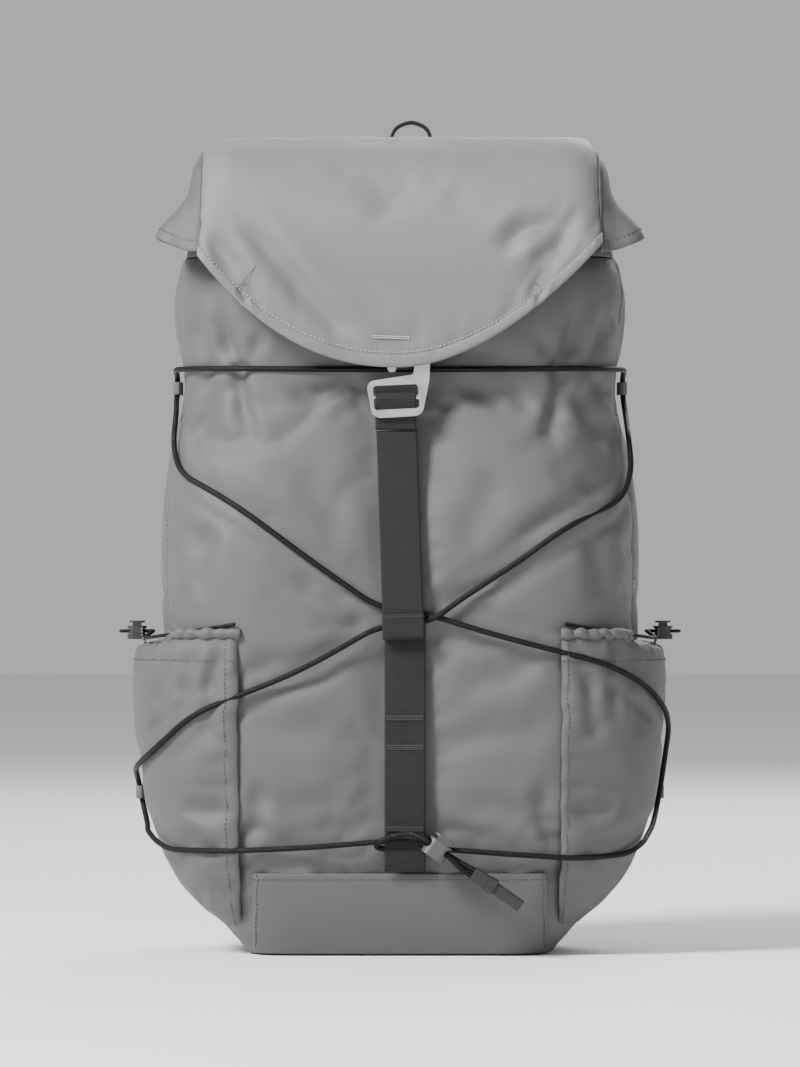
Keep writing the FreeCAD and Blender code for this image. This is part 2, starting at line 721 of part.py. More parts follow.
def cord_route(shapes):
    """The cord's middle line: from the lock round both lower and upper side loops, criss-cross
    under the closure strap, along the collar's foot, and back over the daisy strap to the lock."""
    lift = size("cord") / 2 + 0.6
    side = lift + 2.4  # room for a side loop's webbing under the cord

    def lay(*stations):
        return [around(shapes, x, z, up, turn, y) for x, z, turn, y, up in stations]

    mouth_x, mouth_z = along_lock(-4)
    out_x, out_z = along_lock(-9.4)
    rear, fore = FRONT_LOCK[1] + 1.95, FRONT_LOCK[1] - 1.95
    start = [(mouth_x, rear, mouth_z), (out_x, rear + 0.4, out_z), (18.4, -92.4, 73.4)]
    behind = lay((12, 72.4, 0, 0, lift), (0, 71.8, 0, 0, lift), (-12, 71.2, 0, 0, lift))
    bottom_left = lay(
        (-56, 67.4, 0, 0, lift),
        (-99, 64.9, -8, 0, lift),
        (-90, 65.2, -40, 0, lift + 1.5),
        (-60, 69.5, -62, 0, lift + 1.8),
        (-40, 75.5, -86, -24, side),
        (-40, 79.0, -90, 2, side),
    )
    turn_lower_left = lay((-40, 86, -90, 13, side), (-40, 96, -90, 17, side), (-40, 106, -90, 12, side))
    climb_right = lay(
        (-40, 112.5, -90, -4, side),
        (-60, 117, -66, 0, lift + 1.8),
        (-84, 129, -42, 0, lift + 1.5),
        (-104, 149.5, -14, 0, lift + 0.9),
        (-62, 175, 0, 0, lift),
        (-14, 202.4, 0, 0, lift),
    )
    hop = [(8, -96.3, 204.6), (15.6, -96.5, 206.2), (23.4, -100.0, 209.2), (36, -97.4, 218.6)]
    up_right = lay(
        (74, 243.6, 0, 0, lift),
        (100, 262.5, 0, 0, lift),
        (92, 281, 34, 0, lift + 1.5),
        (70, 300, 56, 0, lift + 1.8),
        (50, 318, 84, -34, side),
        (50, 334, 90, -10, side),
    )
    turn_upper_right = lay((50, 345, 90, 3, side), (50, 356, 90, -2, side))
    top = lay(
        (50, 361, 90, -26, side),
        (60, 361, 62, 0, lift + 1.8),
        (72, 361, 36, 0, lift + 1.5),
        (84, 360.6, 8, 0, lift),
        (30, 360, 0, 0, lift),
        (-30, 360, 0, 0, lift),
        (-84, 360.6, -8, 0, lift),
        (-72, 361, -36, 0, lift + 1.5),
        (-60, 361, -62, 0, lift + 1.8),
        (-50, 361, -90, -26, side),
    )
    turn_upper_left = lay((-50, 358, -90, -2, side), (-50, 350, -90, 5, side), (-50, 342, -90, -4, side))
    down_right = lay(
        (-50, 333, -84, -34, side),
        (-70, 316, -56, 0, lift + 1.8),
        (-92, 297, -34, 0, lift + 1.5),
        (-100, 277, 0, 0, lift),
        (-56, 244, 0, 0, lift),
        (-14, 214.6, 0, 0, lift),
        (14, 211.2, 0, 0, lift),
        (60, 197, 0, 0, lift),
        (104, 180, 14, 0, lift + 0.9),
        (90, 167, 40, 0, lift + 1.5),
        (64, 152, 64, 0, lift + 1.8),
        (40, 139, 90, -16, side),
    )
    turn_lower_right = lay(
        (40, 124, 90, 6, side), (40, 106, 90, 14, side), (40, 90, 90, 6, side), (40, 78, 90, -14, side)
    )
    bottom_right = lay(
        (60, 68.5, 62, 0, lift + 1.8),
        (88, 62.5, 40, 0, lift + 1.5),
        (100, 60.4, 8, 0, lift),
        (64, 63.6, 0, 0, lift),
        (30, 66.4, 0, 0, lift),
        (-8, 66.6, 0, 0, lift),
    )
    turn_middle = [(-13.4, -88.4, 67.2), (-14.6, -91.8, 68.8), (-12.2, -95.0, 71.6)]
    over = [(-4, -95.4, 75.0), (7, -97.2, 76.6), (out_x - 1, fore, out_z + 0.4), (mouth_x, fore, mouth_z)]
    return (
        start + behind + bottom_left + turn_lower_left + climb_right + hop + up_right
        + turn_upper_right + top + turn_upper_left + down_right + turn_lower_right
        + bottom_right + turn_middle + over
    )


def build_side_loops(shapes):
    """Webbing loops in the side seams that the cord turns through."""
    for side, name in ((-1, "left"), (1, "right")):
        for height, label, apex in ((350, "upper", -1), (98, "lower", 15)):
            slot = [("0", "0", "15.8", "2.3", "2.2")]
            band = plate(f"{name}_{label}_band", "17", "3.5", "8", "3.4", slot)
            middle = surface_point(shapes, (0, apex + 6, height), (side, 0, 0), 4.7)
            turn = Rotation(Vector(0, 0, 1), 90)
            put(band, str(middle.x), str(apex + 13), str(height), turn)
            node(band, f"{name}_{label}_loop")


LOCK_WAY = (math.cos(math.radians(35)), -math.sin(math.radians(35)))


def along_lock(distance, rise=0.0):
    """x and z at a distance from the front lock's middle along its cord, and rise above it."""
    x = FRONT_LOCK[0] + LOCK_WAY[0] * distance - LOCK_WAY[1] * rise
    z = FRONT_LOCK[2] + LOCK_WAY[1] * distance + LOCK_WAY[0] * rise
    return x, z


def build_tails():
    """The cord's two free ends below the lock, and the shrunk tube that joins them."""
    for i, (depth, spread) in enumerate(((-1.95, -1.9), (1.95, 1.9))):
        points = []
        for distance, share in ((3, 0), (10, 0.1), (18, 0.62), (26, 1), (35, 1)):
            sag = 0.9 if distance == 18 else 0
            turn = math.radians(90 * share)
            x, z = along_lock(distance, spread * math.sin(turn))
            points.append((x, FRONT_LOCK[1] + depth * math.cos(turn), z - sag))
        shape_node(f"tail_{i + 1}", tube(points, size("cord"), f"tail_{i + 1}"))


def cord_end():
    """Shrunk tube over both tails, with a bulge and a stiff flat end."""
    turn = Rotation(Vector(0, 1, 0), 35)
    frame = Placement(Vector(*FRONT_LOCK), turn)
    bore = Part.makeBox(9, 3.8, 7.6, Vector(26, -1.9, -3.8))

    def block(start, length, thick, height, radius):
        piece = Part.makeBox(length, thick, height, Vector(start, -thick / 2, -height / 2))
        long_edges = [e for e in piece.Edges if abs(e.tangentAt(e.FirstParameter).x) > 0.9]
        return piece.makeFillet(radius, long_edges)

    sleeve = block(26.4, 12, 5.2, 9, 1.6)
    bulge = block(37, 5.4, 6.8, 10.4, 2.4)
    tip = block(41, 21, 4.6, 7.6, 1.4)
    return moved(sleeve.cut(bore).fuse([bulge, tip]), frame)


def pocket_elastic(shapes, side):
    """Elastic round a pocket's rim, whose bight comes out through the cord lock."""
    lock_x, lock_y, lock_z = SIDE_LOCK
    inset = -size("cloth") / 2

    def rim(x, turn, y=0, rise=1.5):
        x0, y0, _ = around(shapes, side * x, 200, inset, side * turn, y)
        return (x0, y0, rim_height(x0) + rise)

    front = [rim(101, 0), rim(96, 30), rim(70, 55), rim(40, 90, -34)]
    back = [rim(40, 90, 10), rim(64, 112)]
    entry, out = side * (lock_x - 10.5), side * (lock_x + 8.6)
    mouth = side * (lock_x - 7)
    bight = [
        (entry, lock_y - 1.5, lock_z + 0.2),
        (mouth, lock_y - 1.35, lock_z),
        (out, lock_y - 1.35, lock_z),
        (out + side * 2.2, lock_y, lock_z),
        (out, lock_y + 1.35, lock_z),
        (mouth, lock_y + 1.35, lock_z),
        (entry, lock_y + 1.5, lock_z + 0.2),
    ]
    return front + bight + back


def build_pocket_trim(pocket_outside):
    for side, name in ((-1, "left"), (1, "right")):
        route = pocket_elastic([pocket_outside.Shape], side)
        shape_node(f"{name}_pocket_elastic", tube(route, size("elastic"), f"{name}_pocket_elastic"))


def collar_cord():
    """Drawcord round the collar's mouth, both ends through the collar's lock."""
    z = COLLAR_LOCK[2]
    half = [(1.35, -60), (1.35, -25), (24, -17), (40, -8), (44, 8), (42, 26), (28, 37)]
    right = [(x, y, z) for x, y in half]
    left = [(-x, y, z) for x, y in reversed(half)]
    return tube(right + left, size("elastic"), "collar_drawcord")


# Back and harness ----------------------------------------------------------------------------

PAD_Y = 76.7  # the cloth at the wearer's side
STRAP_PATH = [(79.4, 472), (100, 478), (122, 462), (131, 425), (131, 285), (124, 225), (108, 160)]
STRAP_X = 64
LADDER = (114.5, 141)  # y and z of the ladder locks' top bar
SLIDE_Y = 131


def build_back():
    body = plate("PadPlate", "dims.pad_wide/2", "dims.pad_tall/2", "dims.pad_thick", "26")
    put(body, y=f"{PAD_Y}+dims.pad_thick/2", z="68+dims.pad_tall/2", turn=Rotation(Vector(1, 0, 0), 90))
    groove = box("PadGroove", ("-20", "80", "-10"), ("20", "120", "600"))
    channelled = cut("PadChannelled", body, groove)
    for i, height in enumerate((180, 294)):
        channel = box(f"PadCross{i}", ("-150", "81", str(height)), ("150", "120", str(height + 16)))
        channelled = cut(f"PadCut{i}", channelled, channel)
    node(channelled, "back_pad")
    yoke = plate("YokePlate", "116", "dims.yoke_tall/2", "2.4", "12")
    middle = "dims.hinge_height-1.6-dims.yoke_tall/2"
    put(yoke, y=f"{PAD_Y + 1.3}", z=middle, turn=Rotation(Vector(1, 0, 0), 90))
    anchor = box("HandleAnchor", ("-15", "78", "481"), ("29", "99", "485"))
    joined = DOC.addObject("Part::Fuse", "Yoke")
    joined.Base = yoke
    joined.Tool = anchor
    node(joined, "yoke")


def build_handle():
    """Webbing loop that stands on its anchor."""
    path = [(-7, 485.4), (-7, 512), (5, 522), (9, 522), (21, 512), (21, 485.4)]
    flat = ribbon(path, 2.2, 15, 0, side=-1)
    return moved(flat, Placement(Vector(0, 91, 0), Rotation(Vector(0, 0, 1), -90)))


def build_harness():
    width, thick = size("harness_wide"), size("harness_thick")
    web = size("strap_thick")
    for side, name in ((-1, "left"), (1, "right")):
        x = side * STRAP_X
        pad_shape = ribbon(STRAP_PATH, thick, width, x, side=-1)
        shape_node(f"{name}_shoulder_strap", pad_shape)
        layered = ribbon(STRAP_PATH, thick + web, 25, x, side=-1)
        face = SLIDE_Y + thick + web
        rail = Part.makeCylinder(1.5, 96, Vector(x, face + 2.2, 307))
        fin = Part.makeBox(1, 2.4, 96, Vector(x - 0.5, face - 0.5, 307))
        facing = layered.cut(pad_shape).fuse([rail, fin])

        buckle_y, buckle_z = LADDER
        ladder = plate(f"{name}_ladder", "17", "13", "3.6", "3", [
            ("0", "7", "13.4", "2.6", "1"),
            ("0", "-5.4", "13.4", "3.4", "1"),
        ])
        put(ladder, str(x), str(buckle_y), str(buckle_z - 12), Rotation(Vector(1, 0, 0), 90))
        node(ladder, f"{name}_ladder_lock")

        tab = [(119.4, 162.6), (117.2, 150), (117.2, 136.9), (111.8, 136.9), (111.8, 148), (110, 157.5)]
        loop = ribbon(tab, 1.2, 25, x, side=1).cut(pad_shape)
        shape_node(f"{name}_strap_facing", facing.fuse(loop))

        base_x = side * 92
        low, high = Vector(base_x, 80.4, 44), Vector(x, buckle_y - 2.6, buckle_z - 17.4)
        edge = Part.makePolygon([
            low + Vector(-12.5, 0, 0),
            low + Vector(12.5, 0, 0),
            low + Vector(12.5, 1.5, 0),
            low + Vector(-12.5, 1.5, 0),
            low + Vector(-12.5, 0, 0),
        ])
        shape_node(f"{name}_lower_webbing", Part.Face(edge).extrude(high - low))
        wing = plate(f"{name}_wing_plate", "22", "14", "3", "5")
        put(wing, str(base_x + side * 2), "78.4", "46", Rotation(Vector(1, 0, 0), 90))
        node(wing, f"{name}_wing")


def build_sternum():
    """Chest strap: a slider on each rail, webbing, and a side-release buckle between them."""
    z, wide = size("sternum_height"), size("sternum_width")
    face = SLIDE_Y + size("harness_thick") + size("strap_thick")
    for side, name in ((-1, "left"), (1, "right")):
        x = side * STRAP_X
        block = Part.makeBox(16, 6.4, 15, Vector(x - 8, face + 0.4, z - 7.5))
        groove = Part.makeCylinder(1.85, 40, Vector(x, face + 2.2, z - 20))
        slit = Part.makeBox(1.7, 4, 40, Vector(x - 0.85, face - 1, z - 20))
        shape_node(f"{name}_slider", block.cut(groove).cut(slit))
        inner, outer = side * 22.3, side * (STRAP_X + 8)
        low = min(inner, outer)
        web = Part.makeBox(abs(outer - inner), 1.2, wide, Vector(low, face + 6.85, z - wide / 2))
        shape_node(f"sternum_strap_{name}", web)
    y = face + 3.4
    socket = Part.makeBox(26, 9.4, 27, Vector(-22.2, y, z - 13.5))
    socket = socket.makeFillet(3, [e for e in socket.Edges if abs(e.tangentAt(0).y) > 0.9])
    cavity = Part.makeBox(21, 5.2, 21, Vector(-16.4, y + 2.1, z - 10.5))
    for end in (-14, 8):
        window = Part.makeBox(9, 5.2, 6, Vector(-10, y + 2.1, z + end))
        cavity = cavity.fuse(window)
    shape_node("sternum_socket", socket.cut(cavity))
    plug = Part.makeBox(17.6, 9.4, 27, Vector(4.4, y, z - 13.5))
    plug = plug.makeFillet(3, [e for e in plug.Edges if abs(e.tangentAt(0).y) > 0.9])
    prongs = [Part.makeBox(20, 4.4, 3.6, Vector(-15, y + 2.5, z + at)) for at in (-9.6, -1.8, 6)]
    shape_node("sternum_plug", plug.fuse(prongs).removeSplitter())


# Build ---------------------------------------------------------------------------------------


def main():
    fill_sheet()
    bag = build_bag()
    build_inside()
    build_wrap(bag)
    pocket = build_pockets(bag)
    build_hook()
    build_lid()
    build_locks()
    build_back()
    DOC.recompute()

    bars = build_front_webbing(bag)
    DOC.recompute()
    strap = next(obj for obj in NODES if obj.Label == "daisy_strap")
    shape_node("bartacks", bars.Shape.cut(strap.Shape))
    shape_node("closure_fold", build_fold())
    shape_node("lid_loop", lid_loop())
    shape_node("grab_handle", build_handle())
    cloth = [bag.Shape, pocket.Shape]
    shape_node("shock_cord", tube(cord_route(cloth), size("cord"), "shock_cord"))
    build_side_loops(cloth)
    build_tails()
    shape_node("cord_end", cord_end())
    build_pocket_trim(pocket)
    shape_node("collar_drawcord", collar_cord())
    build_harness()
    build_sternum()
    DOC.recompute()


def write_nodes():
    broken = [o.Name for o in DOC.Objects if any(s in o.State for s in ("Invalid", "Error"))]
    if broken:
        raise ValueError(f"these objects don't compute: {broken}")
    os.makedirs("parts", exist_ok=True)
    for obj in NODES:
        if obj.Shape.isNull() or not obj.Shape.isValid():
            raise ValueError(f"{obj.Label} isn't a valid solid")
        obj.Shape.exportStep(f"parts/{obj.Label}.step")
    print(len(NODES), "sub-parts")


main()
write_nodes()
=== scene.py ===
import math

import bpy
import numpy as np
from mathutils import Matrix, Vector
from mathutils.bvhtree import BVHTree


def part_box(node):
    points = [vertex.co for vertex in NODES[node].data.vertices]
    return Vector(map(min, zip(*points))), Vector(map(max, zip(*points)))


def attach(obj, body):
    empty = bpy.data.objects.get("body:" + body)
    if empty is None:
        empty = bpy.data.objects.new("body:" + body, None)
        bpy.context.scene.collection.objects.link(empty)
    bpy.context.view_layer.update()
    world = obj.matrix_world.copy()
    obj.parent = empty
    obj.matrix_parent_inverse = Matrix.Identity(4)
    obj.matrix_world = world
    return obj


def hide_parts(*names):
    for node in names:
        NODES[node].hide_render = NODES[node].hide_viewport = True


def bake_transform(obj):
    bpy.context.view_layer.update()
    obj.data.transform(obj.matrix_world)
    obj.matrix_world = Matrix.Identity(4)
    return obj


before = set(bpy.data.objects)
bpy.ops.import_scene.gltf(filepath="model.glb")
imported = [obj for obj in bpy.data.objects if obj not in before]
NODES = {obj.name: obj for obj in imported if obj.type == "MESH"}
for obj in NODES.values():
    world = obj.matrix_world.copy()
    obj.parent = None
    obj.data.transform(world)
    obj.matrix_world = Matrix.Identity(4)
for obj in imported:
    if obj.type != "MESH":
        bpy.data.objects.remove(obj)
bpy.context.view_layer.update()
MM = 0.001

# Helpers -------------------------------------------------------------------------------------


def tree(*names):
    """One search tree over the surfaces of several CAD nodes."""
    verts, polys = [], []
    for name in names:
        mesh = NODES[name].data
        base = len(verts)
        verts += [v.co for v in mesh.vertices]
        polys += [[base + i for i in p.vertices] for p in mesh.polygons]
    return BVHTree.FromPolygons(verts, polys)


def ring_hits(bvh, z, angles):
    """Outside points of a surface at one height. Angle 0 looks at the front, and 90 at +X."""
    out = []
    for a in angles:
        way = Vector((math.sin(a), -math.cos(a), 0))
        hit = bvh.ray_cast(Vector((0, 0, z)) + way * 0.5, -way, 0.5)[0]
        out.append((math.nan,) * 3 if hit is None else tuple(hit))
    return np.array(out)


def found(bvh, z, angles):
    """Only the points that ring_hits finds."""
    hits = ring_hits(bvh, z, angles)
    return hits[~np.isnan(hits[:, 0])]


def lengths(points):
    """Distance run along a polyline at each of its points."""
    return np.concatenate([[0], np.cumsum(np.linalg.norm(np.diff(points, axis=0), axis=1))])


def resample(points, count):
    """The same line with evenly spaced points."""
    run = lengths(points)
    at = np.linspace(0, run[-1], count)
    return np.stack([np.interp(at, run, points[:, i]) for i in range(3)], 1)


def grid_normals(grid, closed=False):
    """Unit normals of a grid of points, outward when columns run counter-clockwise from above."""
    if closed:
        du = np.roll(grid, -1, 1) - np.roll(grid, 1, 1)
    else:
        du = np.gradient(grid, axis=1)
    dv = np.gradient(grid, axis=0)
    n = np.cross(du, dv)
    size = np.linalg.norm(n, axis=2, keepdims=True)
    return n / np.maximum(size, 1e-12)


def smooth_step(x):
    """0 to 1 with a soft start and end as x goes from 0 to 1."""
    x = np.clip(x, 0, 1)
    return x * x * (3 - 2 * x)


def line_distance(grid, line):
    """Distance seen from the front from each grid point to a polyline, and the share run along it."""
    p = grid[..., (0, 2)]
    line = np.array(line, float) * MM
    best = np.full(p.shape[:2], 9.0)
    share = np.zeros(p.shape[:2])
    run = lengths(line)
    for i, (a, b) in enumerate(zip(line, line[1:])):
        d = b - a
        t = np.clip(((p - a) @ d) / (d @ d), 0, 1)
        gap = np.linalg.norm(p - a - t[..., None] * d, axis=-1)
        near = gap < best
        best = np.where(near, gap, best)
        share = np.where(near, (run[i] + t * (run[i + 1] - run[i])) / run[-1], share)
    return best, share


def fold(grid, line, depth, width, closed=False):
    """Presses a soft valley with raised shoulders into the front, along a line, both in mm."""
    gap, share = line_distance(grid, line)
    w = width * MM
    valley = np.exp(-((gap / w) ** 2))
    shoulders = np.exp(-(((gap - 2 * w) / (1.1 * w)) ** 2))
    amount = (valley - 0.38 * shoulders) * depth * MM
    amount = amount * smooth_step(4 * share) * smooth_step(4 * (1 - share))
    amount = amount * (grid[..., 1] < -0.01)
    return grid - grid_normals(grid, closed) * amount[..., None]


def at_row(grid, row):
    """A line of points and normals along the grid at a row that may lie between two rows."""
    n = grid_normals(grid)
    low = int(math.floor(row)) if row >= 0 else grid.shape[0] - 1 + int(math.floor(row))
    t = row - math.floor(row)
    return grid[low] * (1 - t) + grid[low + 1] * t, n[low] * (1 - t) + n[low + 1] * t


def at_column(grid, column):
    """A line of points and normals up the grid at a column that may lie between two columns."""
    line, n = at_row(grid.transpose(1, 0, 2), column)
    return line, -n


def linked(name, data):
    """A new object in the scene."""
    obj = bpy.data.objects.new(name, data)
    bpy.context.scene.collection.objects.link(obj)
    return obj


def mesh_object(name, verts, faces, mat, body, replaces=(), uvs=None):
    """A smooth mesh on a body, with its weave coordinates and what it stands for."""
    mesh = bpy.data.meshes.new(name)
    mesh.from_pydata([tuple(v) for v in verts], [], faces)
    if uvs is not None:
        layer = mesh.uv_layers.new(name="weave")
        flat = np.array([uvs[v] for f in faces for v in f], np.float32).ravel()
        layer.data.foreach_set("uv", flat)
    mesh.polygons.foreach_set("use_smooth", [True] * len(mesh.polygons))
    mesh.materials.append(mat)
    mesh.update()
    obj = linked(name, mesh)
    if body:
        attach(obj, body)
    if replaces:
        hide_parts(*replaces)
    return obj


def grid_faces(rows, cols, closed=False):
    """Quads between the points of a grid. A closed grid's last column meets its first."""
    faces = []
    for r in range(rows - 1):
        for c in range(cols if closed else cols - 1):
            d = (c + 1) % cols
            faces.append((r * cols + c, r * cols + d, (r + 1) * cols + d, (r + 1) * cols + c))
    return faces


def grid_uv(grid):
    """Weave coordinates in metres: run along the rows and up the columns."""
    across = np.linalg.norm(np.diff(grid, axis=1), axis=2).mean(0)
    up = np.linalg.norm(np.diff(grid, axis=0), axis=2).mean(1)
    u = np.concatenate([[0], np.cumsum(across)])
    v = np.concatenate([[0], np.cumsum(up)])
    return np.stack(np.meshgrid(u, v), -1).reshape(-1, 2)


def end_caps(rows, cols):
    """The two faces that close a tube of rows of cols points."""
    last = (rows - 1) * cols
    return [tuple(range(cols))[::-1], tuple(last + k for k in range(cols))]


def soften(obj):
    """One level of subdivision."""
    soft = obj.modifiers.new("Soft", "SUBSURF")
    soft.levels = soft.render_levels = 1


def cloth_piece(name, grid, mat, body, replaces=(), thick=1.1):
    """A sewn panel from a grid of points on its outside. It has thickness and a soft surface."""
    rows, cols = grid.shape[:2]
    obj = mesh_object(name, grid.reshape(-1, 3), grid_faces(rows, cols), mat, body,
                      replaces, grid_uv(grid))
    solid = obj.modifiers.new("Thickness", "SOLIDIFY")
    solid.thickness, solid.offset = thick * MM, -1
    soften(obj)
    return obj


SWELL_FRAMES = 18


def swell(grid, pinned, pressure, cap, closed, spare):
    """Runs a cloth with spare length under pressure and returns the grid it settles to. cap, in mm,
    limits how far a point moves."""
    rows, cols = grid.shape[:2]
    mesh = bpy.data.meshes.new("Swelling")
    mesh.from_pydata([tuple(v) for v in grid.reshape(-1, 3)], [], grid_faces(rows, cols, closed))
    obj = linked("Swelling", mesh)
    group = obj.vertex_groups.new(name="pins")
    group.add([int(i) for i in np.flatnonzero(pinned.ravel())], 1.0, "REPLACE")
    cloth = obj.modifiers.new("Cloth", "CLOTH")
    s = cloth.settings
    s.quality, s.mass, s.air_damping = 5, 0.25, 4
    s.tension_stiffness = s.compression_stiffness = 18
    s.shear_stiffness, s.bending_stiffness = 6, 0.4
    s.use_pressure, s.uniform_pressure_force = True, pressure
    s.vertex_group_mass = "pins"
    s.shrink_min = s.shrink_max = -spare
    s.effector_weights.gravity = 0
    cloth.point_cache.frame_start, cloth.point_cache.frame_end = 1, SWELL_FRAMES
    for f in range(1, SWELL_FRAMES + 1):
        bpy.context.scene.frame_set(f)
    depsgraph = bpy.context.evaluated_depsgraph_get()
    result = obj.evaluated_get(depsgraph).data
    co = np.zeros(len(result.vertices) * 3, np.float32)
    result.vertices.foreach_get("co", co)
    bpy.data.objects.remove(obj)
    bpy.context.scene.frame_set(1)
    moved = co.reshape(grid.shape) - grid
    size = np.linalg.norm(moved, axis=2, keepdims=True)
    limit = cap * MM
    moved *= np.where(size > 1e-9, limit * np.tanh(size / limit) / np.maximum(size, 1e-9), 1)
    return grid + moved


def path_points(points, step=2.0, reach=0.4):
    """A smooth line through runs whose corners are rounded."""
    pts = [np.array(p, float) for p in points]
    out = [pts[0]]
    for a, b, c in zip(pts, pts[1:], pts[2:]):
        d = reach * min(np.linalg.norm(b - a), np.linalg.norm(c - b))
        start = b + (a - b) / np.linalg.norm(a - b) * d
        end = b + (c - b) / np.linalg.norm(c - b) * d
        for t in np.linspace(0, 1, 9):
            out.append((1 - t) ** 2 * start + 2 * t * (1 - t) * b + t * t * end)
    out.append(pts[-1])
    line = np.array(out) * MM
    count = max(4, int(lengths(line)[-1] / (step * MM)))
    return resample(line, count)


def webbing(name, points, width, thick, body, replaces=(), across=(1, 0, 0), mat=None, wave=0.15):
    """Flat webbing along its middle line in mm, with rounded selvedges and a slight slackness."""
    line = path_points(points)
    n = len(line)
    x = np.array(across, float)
    x /= np.linalg.norm(x)
    tangent = np.gradient(line, axis=0)
    tangent /= np.linalg.norm(tangent, axis=1, keepdims=True)
    normal = np.cross(tangent, x)
    normal /= np.maximum(np.linalg.norm(normal, axis=1, keepdims=True), 1e-9)
    side = np.cross(normal, tangent)
    half, t = width / 2, thick / 2
    profile = [(-half, -0.45 * t), (-half + 0.25 * t, -t), (-half + 1.4, -t)]
    profile += [(w, -t) for w in np.linspace(-half + 2.4, half - 2.4, 5)]
    profile += [(half - 1.4, -t), (half - 0.25 * t, -t), (half, -0.45 * t)]
    loop = profile + [(-w, -h) for w, h in profile]
    verts, uvs = [], []
    run = lengths(line)
    for i in range(n):
        sway = wave * MM * math.sin(run[i] * 90 + width)
        for w, h in loop:
            verts.append(line[i] + side[i] * w * MM + normal[i] * (h * MM + sway * (1 - (w / half) ** 2)))
            uvs.append((w * MM, run[i]))
    m = len(loop)
    faces = grid_faces(n, m, True) + end_caps(n, m)
    return mesh_object(name, verts, faces, mat or WEBBING, body, replaces, uvs)


def stitches(name, runs, body, pitch=3.0, length=2.0, radius=0.32, mat=None, lift=0.12):
    """Sewing thread: one short rounded dash for each stitch along lines of (points, normals)."""
    verts, faces = [], []
    for line, normals in runs:
        run = lengths(line)
        count = int(run[-1] / (pitch * MM))
        for k in range(count):
            mid = (k + 0.5) * run[-1] / count
            ends = []
            for s in (mid - length * MM / 2, mid, mid + length * MM / 2):
                p = np.array([np.interp(s, run, line[:, j]) for j in range(3)])
                q = np.array([np.interp(s, run, normals[:, j]) for j in range(3)])
                ends.append((p, q / max(np.linalg.norm(q), 1e-9)))
            way = ends[2][0] - ends[0][0]
            way /= max(np.linalg.norm(way), 1e-9)
            base = len(verts)
            r = radius * MM
            for (p, q), grow, up in zip(ends, (0.45, 1, 0.45), (-0.15, lift, -0.15)):
                b = np.cross(way, q)
                for c in range(6):
                    a = c * math.pi / 3
                    verts.append(p + q * up * MM + (b * math.cos(a) + q * math.sin(a)) * r * grow)
            for face in grid_faces(3, 6, True) + end_caps(3, 6):
                faces.append(tuple(base + i for i in face))
    return mesh_object(name, verts, faces, mat or THREAD, body)


def sweep(name, line, radii, mat, body, sides=12):
    """A round piece of thread, piping or wire along a line of points in metres."""
    tangent = np.gradient(line, axis=0)
    tangent /= np.maximum(np.linalg.norm(tangent, axis=1, keepdims=True), 1e-12)
    up = np.array([0.0, 0.0, 1.0]) if abs(tangent[0][2]) < 0.9 else np.array([0.0, 1.0, 0.0])
    verts, uvs = [], []
    run = lengths(line)
    for i, p in enumerate(line):
        up = up - tangent[i] * (up @ tangent[i])
        up /= np.linalg.norm(up)
        b = np.cross(tangent[i], up)
        r = radii if np.isscalar(radii) else radii[i]
        for c in range(sides):
            a = 2 * math.pi * c / sides
            verts.append(p + (up * math.cos(a) + b * math.sin(a)) * r * MM)
            uvs.append((c / sides * 2 * math.pi * r * MM, run[i]))
    faces = grid_faces(len(line), sides, True) + end_caps(len(line), sides)
    return mesh_object(name, verts, faces, mat, body, uvs=uvs)


# Materials -----------------------------------------------------------------------------------


